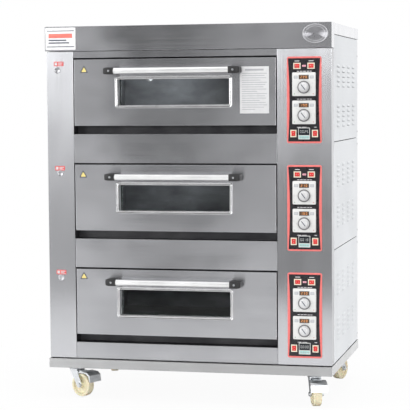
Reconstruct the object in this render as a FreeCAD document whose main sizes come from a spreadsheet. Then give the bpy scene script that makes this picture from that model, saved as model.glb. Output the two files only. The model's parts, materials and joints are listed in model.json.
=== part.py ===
import FreeCAD, Part
import math
import os

import Sketcher

# Three-deck electric baking oven on castors.
# Millimetres. +Z is up, the doors face -Y, +X is to the right of someone facing the doors.
# The origin lies on the floor, under the middle of the oven's overall box.

DIMENSIONS = {
    # Casing
    "body_width": 1220,
    "body_depth": 765,
    "body_height": 1446,
    "castor_height": 134,
    "handle_reach": 50,
    "side_inset": 3,
    "front_inset": 12,
    "sheet": 2,
    "plate": 3,
    "seam": 3,
    "plinth_height": 39,
    "cap_rim": 47,
    "cap_front": 103,
    "front_depth": 60,
    "return_flange": 20,
    "back_inset": 30,
    # Decks
    "deck_pitch": 441.5,
    "lowest_deck": 146,
    "recess_left": -490,
    "recess_right": 382,
    "drip_height": 35,
    "frame_lap": 10,
    "door_gap": 7,
    # Doors
    "door_left": -485,
    "door_width": 863,
    "door_height": 278,
    "door_inset": 8,
    "shell_depth": 52,
    "liner_depth": 6,
    "liner_step": 6,
    "window_left": -294.5,
    "window_width": 478.5,
    "window_bottom": 85,
    "window_height": 109,
    "bezel_band": 9.5,
    "bezel_depth": 3,
    "pane": 4,
    "pane_lap": 8,
    "bar_radius": 12.5,
    "bar_height": 228.5,
    "bar_left": -297,
    "bar_length": 487,
    "grip_end": 46,
    "grip_socket": 14,
    # Door hinges
    "pivot_depth": 46,
    "pivot_rise": 12,
    "pin_radius": 4,
    "running_gap": 0.05,
    "notch_width": 22,
    "notch_height": 26,
    "notch_front": 32,
    "ear_thick": 6,
    "ear_half": 8,
    # Baking chambers
    "chamber_left": -465,
    "chamber_width": 823,
    "chamber_depth": 626,
    "chamber_height": 260,
    "mouth_bottom": 30,
    "mouth_height": 220,
    "hearth_bottom": 26,
    "hearth_thick": 8,
    "ledge": 12,
    "seal_width": 8,
    "seal_gap": 0.6,
    "lagging_left": 90,
    "lagging_right": 20,
    "lagging_top": 36,
    "lagging_bottom": 33,
    "lagging_back": 24,
    "flue_x": -350,
    "flue_z": 213,
    "flue_pipe_radius": 24,
    "flue_flange": 64,
    "flue_hole_gap": 0.5,
    "spigot_radius": 25,
    "spigot_length": 25,
    "element_radius": 4.25,
    "element_half_gap": 30,
    "element_length": 560,
    "element_pitch": 205,
    "element_first": -361,
    "lower_element_z": 13,
    "upper_element_z": 254,
    "lamp_depth": 170,
    "lamp_height": 170,
    "probe_depth": 430,
    "probe_length": 60,
    # Controls
    "column_cut_gap": 0.5,
    "plate_left": 423.5,
    "plate_width": 143,
    "plate_height": 352,
    "plate_top": 279,
    "controller_size": 96,
    "controller_body": 91,
    "controller_length": 76,
    "controller_bezel": 8,
    "upper_controller": -112.5,
    "lower_controller": -226.5,
    "timer_size": 48,
    "timer_body": 44,
    "timer_length": 60,
    "timer_bezel": 6,
    "timer_drop": -312.5,
    "knob_radius": 26,
    "knob_skirt": 5,
    "knob_cap_radius": 17,
    "knob_height": 18,
    "knob_drop": -12,
    "knob_float": 0.6,
    "spindle_radius": 3,
    "spindle_length": 8,
    "rocker_bezel_long": 30,
    "rocker_bezel_short": 25,
    "rocker_flange": 2.5,
    "rocker_cup": 16,
    "rocker_cavity_long": 21.4,
    "rocker_cavity_short": 16.6,
    "rocker_radius": 10.3,
    "rocker_width": 16,
    "rocker_pivot": 4,
    "rocker_tilt": 8,
    "rocker_valley": 0.6,
    "rocker_back": 6,
    "top_rocker_x": 29,
    "top_rocker_drop": -38,
    "low_rocker_x": 44.5,
    "low_rocker_drop": -312.5,
    # Side panels
    "lower_seam": 514,
    "upper_seam": 959,
    "louvre_length": 70,
    "louvre_height": 8,
    "louvre_first": 120,
    "louvre_span": 435,
    "louvre_rows_span": 82,
    "low_panel_lower_louvres": 130,
    "low_panel_upper_louvres": 320,
    "middle_panel_lower_louvres": 604,
    "middle_panel_upper_louvres": 774,
    "high_panel_lower_louvres": 1022,
    "high_panel_upper_louvres": 1188,
    # Frame
    "post": 25,
    "rail": 30,
    # Castors
    "castor_x": 520,
    "castor_y": 95,
    "castor_plate": 94,
    "castor_plate_thick": 4,
    "bolt_pitch": 74,
    "bolt_head_radius": 6.5,
    "bolt_head_depth": 5,
    "kingpin_radius": 6,
    "kingpin_head_radius": 10,
    "kingpin_head_depth": 4,
    "race_radius": 26,
    "race_depth": 11,
    "bearing_gap": 0.4,
    "crown_thick": 4,
    "wheel_radius": 50,
    "wheel_width": 34,
    "hub_width": 40,
    "hub_radius": 17,
    "rim_radius": 37,
    "web_width": 20,
    "trail": 38,
    "axle_radius": 6,
    "rail_inset": 10,
    "rail_height": 300,
    "rail_width": 35,
    "rail_thick": 7,
    "rail_front": 220,
    "rail_length": 380,
    "contactor_first": 20,
    "contactor_pitch": 75,
    "contactor_width": 55,
    "contactor_depth": 80,
    "contactor_height": 85,
    "block_start": 260,
    "block_length": 90,
    "block_depth": 50,
    "block_margin": 10,
    "fork_leg": 4,
    "fork_inner": 42,
    "pedal_pivot": 16,
    "pedal_height": 107,
    "pedal_pin": 3,
    "pedal_width": 70,
    "pedal_drop": 38,
    "pedal_thick": 4,
}

document = FreeCAD.newDocument("deck_oven")
sheet = document.addObject("Spreadsheet::Sheet", "dims")
for row, (alias, number) in enumerate(DIMENSIONS.items(), start=1):
    sheet.set(f"A{row}", alias)
    sheet.set(f"B{row}", str(number))
    sheet.setAlias(f"B{row}", alias)
document.recompute()


class Size:
    """A length worked out from the sheet: its present value, and the formula that binds it."""

    def __init__(self, value, formula):
        self.value = float(value)
        self.formula = formula

    def __add__(self, other):
        other = size(other)
        return Size(self.value + other.value, f"({self.formula} + {other.formula})")

    def __sub__(self, other):
        other = size(other)
        return Size(self.value - other.value, f"({self.formula} - {other.formula})")

    def __mul__(self, other):
        other = size(other)
        return Size(self.value * other.value, f"({self.formula} * {other.formula})")

    def __truediv__(self, other):
        other = size(other)
        return Size(self.value / other.value, f"({self.formula} / {other.formula})")

    def __radd__(self, other):
        return size(other) + self

    def __rsub__(self, other):
        return size(other) - self

    def __rmul__(self, other):
        return size(other) * self

    def __neg__(self):
        return Size(-self.value, f"(0 - {self.formula})")


def size(number):
    return number if isinstance(number, Size) else Size(number, f"({number})")


def dim(alias):
    return Size(sheet.get(alias), f"dims.{alias}")


X, Y, Z = (FreeCAD.Vector(axis) for axis in ((1, 0, 0), (0, 1, 0), (0, 0, 1)))
TURN_TO = {
    "X": FreeCAD.Rotation(Y, 90),
    "Y": FreeCAD.Rotation(X, -90),
    "Z": FreeCAD.Rotation(),
}
nodes = []


# --- Building helpers -------------------------------------------------------------------------


def bind(item, prop, amount):
    item.setExpression(prop, size(amount).formula)


def place(item, corner, rotation=None):
    """Binds where the item stands to the sheet, and turns it."""
    spot = [size(value) for value in corner]
    base = FreeCAD.Vector(*(value.value for value in spot))
    item.Placement = FreeCAD.Placement(base, rotation or FreeCAD.Rotation())
    for letter, value in zip("xyz", spot):
        item.setExpression(f"Placement.Base.{letter}", value.formula)
    return item


def box(name, low, high):
    """A block from its lowest corner to its highest corner."""
    block = document.addObject("Part::Box", name)
    for prop, start, end in zip(("Length", "Width", "Height"), low, high):
        bind(block, prop, size(end) - start)
    return place(block, low)


def cylinder(name, start, radius, length, along="Z"):
    rod = document.addObject("Part::Cylinder", name)
    bind(rod, "Radius", radius)
    bind(rod, "Height", length)
    return place(rod, start, TURN_TO[along])


def fuse(name, *pieces):
    whole = document.addObject("Part::MultiFuse", name)
    whole.Shapes = list(pieces)
    whole.Refine = True
    return whole


def cut(name, solid, *tools):
    result = document.addObject("Part::Cut", name)
    result.Base = solid
    result.Tool = tools[0] if len(tools) == 1 else fuse(f"{name}_tools", *tools)
    result.Refine = True
    return result


def group(name, *pieces):
    """Separate solids that share one node."""
    bundle = document.addObject("Part::Compound", name)
    bundle.Links = list(pieces)
    return bundle


def node(item, label):
    item.Label = label
    nodes.append(item)
    return item


def plane(body, role):
    return next(item for item in body.Origin.OriginFeatures if item.Role == role)


def sketch(body, name, role, lift=0):
    """A sketch on one of the body's own origin planes, lifted along the plane's normal."""
    drawing = body.newObject("Sketcher::SketchObject", name)
    drawing.AttachmentSupport = [(plane(body, role), "")]
    drawing.MapMode = "FlatFace"
    bind(drawing, "AttachmentOffset.Base.z", lift)
    return drawing


def hold(drawing, kind, geometry, point, amount):
    """Fixes one coordinate of a point of the sketch."""
    amount = size(amount)
    index = drawing.addConstraint(Sketcher.Constraint(kind, -1, 1, geometry, point, amount.value))
    drawing.setExpression(f"Constraints[{index}]", amount.formula)


def polygon(drawing, corners):
    """A closed outline of straight edges, with each corner held by the sheet."""
    points = [FreeCAD.Vector(size(u).value, size(v).value, 0) for u, v in corners]
    first = drawing.GeometryCount
    count = len(points)
    for index in range(count):
        edge = Part.LineSegment(points[index], points[(index + 1) % count])
        drawing.addGeometry(edge, False)
    for index in range(count):
        following = first + (index + 1) % count
        drawing.addConstraint(Sketcher.Constraint("Coincident", first + index, 2, following, 1))
    for index, (u, v) in enumerate(corners):
        hold(drawing, "DistanceX", first + index, 1, u)
        hold(drawing, "DistanceY", first + index, 1, v)


def rectangle(drawing, left, bottom, width, height):
    right = size(left) + width
    top = size(bottom) + height
    polygon(drawing, [(left, bottom), (right, bottom), (right, top), (left, top)])


def centred(drawing, centre_u, centre_v, width, height):
    rectangle(drawing, centre_u - width / 2, centre_v - height / 2, width, height)


def new_body(name):
    return document.addObject("PartDesign::Body", name)


def pad(body, drawing, length, reverse=False):
    feature = body.newObject("PartDesign::Pad", f"{drawing.Name}_pad")
    feature.Profile = drawing
    bind(feature, "Length", length)
    feature.Reversed = reverse
    return feature


def pocket(body, drawing, length, reverse=False):
    feature = body.newObject("PartDesign::Pocket", f"{drawing.Name}_pocket")
    feature.Profile = drawing
    bind(feature, "Length", length)
    feature.Reversed = reverse
    return feature


def revolve(body, drawing, axis="V_Axis"):
    feature = body.newObject("PartDesign::Revolution", f"{drawing.Name}_turned")
    feature.Profile = drawing
    feature.ReferenceAxis = (drawing, [axis])
    feature.Angle = 360
    return feature


# --- Datum lines ------------------------------------------------------------------------------

SHEET = dim("sheet")
HALF = dim("body_width") / 2
FRONT = dim("handle_reach") - (dim("body_depth") + dim("handle_reach")) / 2
BACK = FRONT + dim("body_depth")
BASE = dim("castor_height")
TOP = BASE + dim("body_height")
SKIN = HALF - dim("side_inset")
FACE = FRONT + dim("front_inset")
RECESS_BACK = FACE + dim("front_depth")
WALL_BACK = BACK - dim("back_inset")
PANEL_BOTTOM = BASE + dim("plinth_height") + dim("seam")
FRONT_TOP = TOP - dim("cap_front") - SHEET
SIDE_TOP = TOP - dim("cap_rim") - SHEET
DOOR_FACE = FRONT + dim("door_inset")
SHELL_BACK = DOOR_FACE + dim("shell_depth")
DOOR_BACK = SHELL_BACK + dim("liner_depth")
FRAME_BACK = RECESS_BACK + SHEET
PLATE_FACE = FACE - dim("plate")
PLATE_CENTRE = dim("plate_left") + dim("plate_width") / 2
DECKS = (1, 2, 3)


def deck_floor(deck):
    """Height of the door's lower edge; deck 1 is the top one."""
    return BASE + dim("lowest_deck") + (3 - deck) * dim("deck_pitch")


def control_spots(deck):
    """Centres of everything cut into one deck's control plate: name, x, z."""
    top = deck_floor(deck) + dim("plate_top")
    return {
        "light": (PLATE_CENTRE - dim("top_rocker_x"), top + dim("top_rocker_drop")),
        "power": (PLATE_CENTRE + dim("top_rocker_x"), top + dim("top_rocker_drop")),
        "top_heat": (PLATE_CENTRE, top + dim("upper_controller")),
        "bottom_heat": (PLATE_CENTRE, top + dim("lower_controller")),
        "timer": (PLATE_CENTRE, top + dim("timer_drop")),
        "alarm": (PLATE_CENTRE - dim("low_rocker_x"), top + dim("low_rocker_drop")),
        "steam": (PLATE_CENTRE + dim("low_rocker_x"), top + dim("low_rocker_drop")),
    }


FLAT_ROCKERS = ("light", "power")
ROCKERS = ("light", "power", "alarm", "steam")
HEATS = ("top_heat", "bottom_heat")


def cutout_size(kind):
    """Width and height of the hole that a control's housing passes through."""
    if kind in HEATS:
        side = dim("controller_body")
        return side + 2 * dim("column_cut_gap"), side + 2 * dim("column_cut_gap")
    if kind == "timer":
        side = dim("timer_body")
        return side + 2 * dim("column_cut_gap"), side + 2 * dim("column_cut_gap")
    along = dim("rocker_cavity_long") + 2 * SHEET + 2 * dim("column_cut_gap")
    across = dim("rocker_cavity_short") + 2 * SHEET + 2 * dim("column_cut_gap")
    return (along, across) if kind in FLAT_ROCKERS else (across, along)


# --- Casing -----------------------------------------------------------------------------------


def tray(name, low, high, thick, open_side):
    """A folded-sheet box with one side open: "back" or "top" or "bottom"."""
    outer = box(f"{name}_outer", low, high)
    inner_low = [size(value) + thick for value in low]
    inner_high = [size(value) - thick for value in high]
    if open_side == "back":
        inner_high[1] = size(high[1]) + thick
    if open_side == "top":
        inner_high[2] = size(high[2]) + thick
    if open_side == "bottom":
        inner_low[2] = size(low[2]) - thick
    return outer, box(f"{name}_inner", inner_low, inner_high)


def body_frame():
    """Plinth tray with four posts, and two cross rails under each deck."""
    outer, inner = tray(
        "plinth",
        (-HALF, FRONT, BASE),
        (HALF, BACK, BASE + dim("plinth_height")),
        dim("plate"),
        "top",
    )
    pieces = [cut("plinth", outer, inner)]
    post = dim("post")
    post_x = SKIN - dim("return_flange") - 1 - post
    rows = {"front": FRAME_BACK + 2, "rear": WALL_BACK - SHEET - 8 - post}
    for row_name, post_y in rows.items():
        for side_name, left in (("left", -post_x - post), ("right", post_x)):
            pieces.append(
                box(
                    f"post_{row_name}_{side_name}",
                    (left, post_y, BASE + dim("plate")),
                    (left + post, post_y + post, SIDE_TOP),
                )
            )
        for deck in DECKS:
            top = deck_floor(deck) - dim("lagging_bottom")
            pieces.append(
                box(
                    f"rail_{row_name}_{deck}",
                    (-post_x, post_y, top - dim("rail")),
                    (post_x, post_y + post, top),
                )
            )
    node(group("body_frame_parts", *pieces), "body_frame")


def top_cap():
    """Shallow lid with a rim all round and a deeper hood across the front."""
    rim, rim_room = tray(
        "cap_rim", (-HALF, FRONT, TOP - dim("cap_rim")), (HALF, BACK, TOP), SHEET, "bottom"
    )
    hood = box("cap_hood", (-HALF, FRONT, TOP - dim("cap_front")), (HALF, RECESS_BACK, TOP))
    hood_room = box(
        "cap_hood_room",
        (-HALF + SHEET, FRONT + SHEET, TOP - dim("cap_front") + SHEET),
        (HALF - SHEET, RECESS_BACK + SHEET, TOP - SHEET),
    )
    lid = fuse("cap_blank", rim, hood)
    node(cut("cap", lid, rim_room, hood_room), "top_cap")


def channel(name, left, right, bottom, top):
    """A front panel folded back at all four edges."""
    outer, inner = tray(name, (left, FACE, bottom), (right, RECESS_BACK, top), SHEET, "back")
    return cut(name, outer, inner)


def front_panels():
    """Left pillar, lintel, and a fascia under each door."""
    edge = size(1)
    left = dim("recess_left") + edge
    right = dim("recess_right") - edge
    pieces = [channel("left_pillar", -SKIN, dim("recess_left"), PANEL_BOTTOM, FRONT_TOP)]
    over_door = dim("door_height") + dim("door_gap")
    pieces.append(channel("lintel", left, right, deck_floor(1) + over_door, FRONT_TOP))
    for deck in DECKS:
        bottom = PANEL_BOTTOM if deck == 3 else deck_floor(deck + 1) + over_door
        top = deck_floor(deck) - dim("drip_height")
        pieces.append(channel(f"fascia_{deck}", left, right, bottom, top))
    node(group("front_panel_parts", *pieces), "front_panels")


def control_column():
    """Right-hand front panel with the cut-outs for every control."""
    column = channel("column", dim("recess_right"), SKIN, PANEL_BOTTOM, FRONT_TOP)
    holes = []
    for deck in DECKS:
        for kind, (centre_x, centre_z) in control_spots(deck).items():
            width, height = cutout_size(kind)
            holes.append(
                box(
                    f"column_hole_{kind}_{deck}",
                    (centre_x - width / 2, FACE - 1, centre_z - height / 2),
                    (centre_x + width / 2, FACE + SHEET + 1, centre_z + height / 2),
                )
            )
    node(cut("column_cut", column, *holes), "control_column")


def side_panel(level, bottom, top):
    """Right-hand panel with returns front and rear, and two blocks of louvre slots."""
    name = f"{level}_panel"
    body = new_body(name)
    front = RECESS_BACK + dim("seam")
    rear = BACK - dim("seam")
    inner = SKIN - SHEET
    fold = SKIN - dim("return_flange")
    profile = sketch(body, f"{name}_profile", "XY_Plane", bottom)
    polygon(
        profile,
        [
            (SKIN, front),
            (SKIN, rear),
            (fold, rear),
            (fold, rear - SHEET),
            (inner, rear - SHEET),
            (inner, front + SHEET),
            (fold, front + SHEET),
            (fold, front),
        ],
    )
    pad(body, profile, top - bottom)
    document.recompute()
    for group_name in ("lower", "upper"):
        first_row = BASE + dim(f"{name}_{group_name}_louvres")
        slot = sketch(body, f"{name}_{group_name}_slot", "YZ_Plane", inner - 1)
        rectangle(
            slot,
            front + dim("louvre_first") - dim("louvre_length") / 2,
            first_row - dim("louvre_height") / 2,
            dim("louvre_length"),
            dim("louvre_height"),
        )
        feature = pocket(body, slot, SHEET + 2, reverse=True)
        document.recompute()
        pattern = body.newObject("PartDesign::MultiTransform", f"{name}_{group_name}_louvres")
        pattern.Originals = [feature]
        along = body.newObject("PartDesign::LinearPattern", f"{name}_{group_name}_along")
        along.Direction = (slot, ["H_Axis"])
        bind(along, "Length", dim("louvre_span"))
        along.Occurrences = 4
        upward = body.newObject("PartDesign::LinearPattern", f"{name}_{group_name}_upward")
        upward.Direction = (slot, ["V_Axis"])
        bind(upward, "Length", dim("louvre_rows_span"))
        upward.Occurrences = 5
        pattern.Transformations = [along, upward]
        body.Tip = pattern
        document.recompute()
    return body


def side_panels():
    """Three stacked panels on each side, the left ones mirrored from the right."""
    half_seam = dim("seam") / 2
    heights = (
        ("low", PANEL_BOTTOM, BASE + dim("lower_seam") - half_seam),
        ("middle", BASE + dim("lower_seam") + half_seam, BASE + dim("upper_seam") - half_seam),
        ("high", BASE + dim("upper_seam") + half_seam, SIDE_TOP),
    )
    pieces = []
    for level, bottom, top in heights:
        panel = side_panel(level, bottom, top)
        opposite = document.addObject("Part::Mirroring", f"{level}_panel_left")
        opposite.Source = panel
        opposite.Normal = X
        pieces += [panel, opposite]
    node(group("side_panel_parts", *pieces), "side_panels")


def back_panel():
    """Rear sheet with a hole for each flue and one for the cable gland."""
    inside = SKIN - SHEET - 1
    panel = box("back_sheet", (-inside, WALL_BACK - SHEET, PANEL_BOTTOM), (inside, WALL_BACK, SIDE_TOP))
    holes = []
    for deck in DECKS:
        holes.append(
            cylinder(
                f"back_flue_hole_{deck}",
                (dim("flue_x"), WALL_BACK - 2 * SHEET, deck_floor(deck) + dim("flue_z")),
                dim("flue_pipe_radius") + dim("flue_hole_gap"),
                3 * SHEET,
                "Y",
            )
        )
    holes.append(cylinder("back_gland_hole", GLAND_SPOT, GLAND_THREAD + 0.5, 3 * SHEET, "Y"))
    node(cut("back_cut", panel, *holes), "back_panel")


# --- Baking chambers --------------------------------------------------------------------------


def rear_wall(deck, low, high):
    """Rear sheet welded up round a square flange, whose flue pipe ends in the outer spigot."""
    front, back = low[1], high[1]
    centre_x = dim("flue_x")
    centre_z = deck_floor(deck) + dim("flue_z")
    half = dim("flue_flange") / 2
    strips = {
        "left": (low, (centre_x - half, back, high[2])),
        "right": ((centre_x + half, front, low[2]), high),
        "below": ((centre_x - half, front, low[2]), (centre_x + half, back, centre_z - half)),
        "above": ((centre_x - half, front, centre_z + half), (centre_x + half, back, high[2])),
    }
    sheets = [box(f"rear_{side}_{deck}", near, far) for side, (near, far) in strips.items()]
    flange = box(
        f"flue_flange_{deck}",
        (centre_x - half, front, centre_z - half),
        (centre_x + half, back, centre_z + half),
    )
    pipe_end = BACK - SHEET
    pipe_start = (centre_x, front, centre_z)
    pipe = cylinder(f"flue_pipe_{deck}", pipe_start, dim("flue_pipe_radius"), pipe_end - front, "Y")
    spigot_start = (centre_x, pipe_end - dim("spigot_length"), centre_z)
    spigot = cylinder(f"flue_spigot_{deck}", spigot_start, dim("spigot_radius"), dim("spigot_length"), "Y")
    bore_start = (centre_x, front - SHEET, centre_z)
    bore_radius = dim("flue_pipe_radius") - SHEET
    bore = cylinder(f"flue_bore_{deck}", bore_start, bore_radius, BACK - front + SHEET, "Y")
    return [*sheets, cut(f"flue_{deck}", fuse(f"flue_blank_{deck}", flange, pipe, spigot), bore)]


def baking_chambers():
    """Each chamber: floor, ceiling and side sheets, rear wall, hearth ledges and front frame."""
    left = dim("chamber_left")
    right = left + dim("chamber_width")
    rear = FRAME_BACK + dim("chamber_depth")
    frame_left = dim("recess_left") - dim("frame_lap")
    frame_right = dim("recess_right") + dim("frame_lap")
    pieces = []
    for deck in DECKS:
        floor = deck_floor(deck)
        low = floor + SHEET
        high = low + dim("chamber_height")
        roof = high + SHEET
        ledge_top = floor + dim("hearth_bottom")
        mouth_bottom = floor + dim("mouth_bottom")
        mouth_top = mouth_bottom + dim("mouth_height")
        frame_bottom = floor - dim("drip_height")
        frame_top = floor + dim("door_height") + dim("door_gap")
        ledge = dim("ledge")
        blocks = {
            "floor": ((left - SHEET, FRAME_BACK, floor), (right + SHEET, rear, low)),
            "ceiling": ((left - SHEET, FRAME_BACK, high), (right + SHEET, rear, roof)),
            "left_wall": ((left - SHEET, FRAME_BACK, low), (left, rear, high)),
            "right_wall": ((right, FRAME_BACK, low), (right + SHEET, rear, high)),
            "left_ledge": ((left, FRAME_BACK, ledge_top - SHEET), (left + ledge, rear, ledge_top)),
            "right_ledge": ((right - ledge, FRAME_BACK, ledge_top - SHEET), (right, rear, ledge_top)),
            "sill": ((frame_left, RECESS_BACK, frame_bottom), (frame_right, FRAME_BACK, mouth_bottom)),
            "header": ((frame_left, RECESS_BACK, mouth_top), (frame_right, FRAME_BACK, frame_top)),
            "left_jamb": ((frame_left, RECESS_BACK, mouth_bottom), (left, FRAME_BACK, mouth_top)),
            "right_jamb": ((right, RECESS_BACK, mouth_bottom), (frame_right, FRAME_BACK, mouth_top)),
        }
        for name, (near, far) in blocks.items():
            pieces.append(box(f"{name}_{deck}", near, far))
        wall_low = (left - SHEET, rear, floor)
        wall_high = (right + SHEET, rear + SHEET, roof)
        pieces += rear_wall(deck, wall_low, wall_high)
    node(group("chamber_parts", *pieces), "baking_chambers")


def hearth_plates():
    """The steel plate that the trays stand on, resting on the chamber's ledges."""
    gap = size(2)
    left = dim("chamber_left") + gap
    right = dim("chamber_left") + dim("chamber_width") - gap
    pieces = []
    for deck in DECKS:
        bottom = deck_floor(deck) + dim("hearth_bottom")
        pieces.append(
            box(
                f"hearth_{deck}",
                (left, FRAME_BACK + gap, bottom),
                (right, FRAME_BACK + dim("chamber_depth") - gap, bottom + dim("hearth_thick")),
            )
        )
    node(group("hearth_parts", *pieces), "hearth_plates")


def insulation():
    """Mineral-wool block round each chamber."""
    left = dim("chamber_left") - SHEET
    right = dim("chamber_left") + dim("chamber_width") + SHEET
    rear = FRAME_BACK + dim("chamber_depth") + SHEET
    pieces = []
    for deck in DECKS:
        floor = deck_floor(deck)
        ceiling = floor + dim("chamber_height") + 2 * SHEET
        block = box(
            f"wool_block_{deck}",
            (left - dim("lagging_left"), FRAME_BACK, floor - dim("lagging_bottom")),
            (right + dim("lagging_right"), rear + dim("lagging_back"), ceiling + dim("lagging_top")),
        )
        room = box(
            f"wool_room_{deck}",
            (left, FRAME_BACK - 1, floor),
            (right, rear, ceiling),
        )
        sleeve = cylinder(
            f"wool_flue_{deck}",
            (dim("flue_x"), rear - 1, floor + dim("flue_z")),
            dim("flue_pipe_radius"),
            dim("lagging_back") + 2,
            "Y",
        )
        pieces.append(cut(f"wool_{deck}", block, room, sleeve))
    node(group("wool_parts", *pieces), "insulation")


def heating_element(name, centre_x, centre_z):
    """One tubular hairpin: two long legs, a round bend in front and a flange on the rear wall."""
    radius = dim("element_radius").value
    half_gap = dim("element_half_gap").value
    rear = (FRAME_BACK + dim("chamber_depth")).value
    front = rear - dim("element_length").value
    centre = FreeCAD.Vector(size(centre_x).value, front, size(centre_z).value)
    legs = []
    for side in (-1, 1):
        start = centre + X * side * half_gap
        legs.append(Part.makeCylinder(radius, rear - front, start, Y))
    ring = Part.makeTorus(half_gap, radius, centre, Z, -180, 180, 180)
    bend = ring if ring.BoundBox.YMax < front + 1 else ring.rotate(centre, Z, 180)
    flange = Part.makeBox(
        2 * half_gap + 24, 3, 12, FreeCAD.Vector(centre.x - half_gap - 12, rear - 3, centre.z - 6)
    )
    element = document.addObject("Part::Feature", name)
    element.Shape = legs[0].multiFuse([bend, legs[1], flange]).removeSplitter()
    return element


def heating_elements():
    pieces = []
    for deck in DECKS:
        floor = deck_floor(deck)
        for level, height in (("lower", "lower_element_z"), ("upper", "upper_element_z")):
            for index in range(4):
                centre_x = dim("element_first") + index * dim("element_pitch")
                name = f"element_{level}_{deck}_{index + 1}"
                pieces.append(heating_element(name, centre_x, floor + dim(height)))
    node(group("element_parts", *pieces), "heating_elements")


def chamber_fittings():
    """A lamp on the right wall of each chamber, and a temperature probe beside each heater bank."""
    wall = dim("chamber_left") + dim("chamber_width")
    lamps = []
    probes = []
    for deck in DECKS:
        floor = deck_floor(deck)
        lamp_y = FRAME_BACK + dim("lamp_depth")
        lamp_z = floor + dim("lamp_height")
        ring = cylinder(f"lamp_ring_{deck}", (wall - 3, lamp_y, lamp_z), 32, 3, "X")
        lens = cylinder(f"lamp_lens_{deck}", (wall - 6, lamp_y, lamp_z), 26, 6, "X")
        lamps.append(fuse(f"lamp_{deck}", ring, lens))
        for level in ("lower", "upper"):
            depth = FRAME_BACK + dim("probe_depth")
            height = floor + dim(f"{level}_element_z")
            collar = cylinder(f"{level}_collar_{deck}", (wall - 5, depth, height), 6, 5, "X")
            stem_start = (wall - dim("probe_length"), depth, height)
            stem = cylinder(f"{level}_stem_{deck}", stem_start, 3, dim("probe_length"), "X")
            probes.append(fuse(f"{level}_probe_{deck}", collar, stem))
    node(group("lamp_parts", *lamps), "oven_lamps")
    node(group("probe_parts", *probes), "temperature_probes")


def door_seals():
    """Flat heat-proof rope seal round each chamber mouth."""
    left = dim("chamber_left")
    right = left + dim("chamber_width")
    width = dim("seal_width")
    front = DOOR_BACK + dim("seal_gap")
    pieces = []
    for deck in DECKS:
        bottom = deck_floor(deck) + dim("mouth_bottom")
        top = bottom + dim("mouth_height")
        outer = box(
            f"seal_outer_{deck}",
            (left - width, front, bottom - width),
            (right + width, RECESS_BACK, top + width),
        )
        inner = box(f"seal_inner_{deck}", (left, front - 1, bottom), (right, RECESS_BACK + 1, top))
        pieces.append(cut(f"seal_{deck}", outer, inner))
    node(group("seal_parts", *pieces), "door_seals")


# --- Doors ------------------------------------------------------------------------------------


def window_box(name, deck, grow, front, rear):
    left = dim("window_left") - grow
    bottom = deck_floor(deck) + dim("window_bottom") - grow
    right = left + dim("window_width") + 2 * size(grow)
    top = bottom + dim("window_height") + 2 * size(grow)
    return box(name, (left, front, bottom), (right, rear, top))


def door_shell(deck):
    """Outer door pan with the window opening, hinge corners and a raised window bezel."""
    left = dim("door_left")
    right = left + dim("door_width")
    floor = deck_floor(deck)
    name = f"door_{deck}"
    pan_high = (right, SHELL_BACK, floor + dim("door_height"))
    outer, inner = tray(f"{name}_pan", (left, DOOR_FACE, floor), pan_high, SHEET, "back")
    pan = cut(f"{name}_pan", outer, inner, window_box(f"{name}_cut", deck, 0, DOOR_FACE - 1, SHELL_BACK))
    notch_front = FRONT + dim("notch_front")
    inset = dim("notch_width")
    top = floor + dim("notch_height")
    bush = size(14)
    blocks = []
    notches = []
    bores = []
    for side, outside, inside in (("left", left, left + inset), ("right", right, right - inset)):
        near = outside if side == "left" else inside
        notch_low = (near, notch_front, floor)
        notches.append(box(f"{name}_notch_{side}", notch_low, (near + inset, SHELL_BACK, top)))
        inner_wall = inside if side == "left" else inside - bush
        blocks.append(
            box(
                f"{name}_bush_{side}",
                (inner_wall, notch_front - SHEET, floor),
                (inner_wall + bush, SHELL_BACK, top + SHEET),
            )
        )
        blocks.append(
            box(
                f"{name}_corner_{side}",
                (near, notch_front - SHEET, floor),
                (near + inset, SHELL_BACK, top + SHEET),
            )
        )
        bores.append(
            cylinder(
                f"{name}_bore_{side}",
                (inner_wall - 1, FRONT + dim("pivot_depth"), floor + dim("pivot_rise")),
                dim("pin_radius") + dim("running_gap"),
                bush + 2,
                "X",
            )
        )
    stout = fuse(f"{name}_stout", pan, *blocks)
    body = cut(f"{name}_outer_body", stout, *notches, *bores)
    band = dim("bezel_band")
    ring = cut(
        f"{name}_bezel",
        window_box(f"{name}_bezel_outer", deck, band, DOOR_FACE - dim("bezel_depth"), DOOR_FACE),
        window_box(f"{name}_bezel_inner", deck, 0, DOOR_FACE - dim("bezel_depth") - 1, DOOR_FACE + 1),
    )
    node(group(f"{name}_shell_parts", body, ring), f"door_{deck}_shell")


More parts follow.
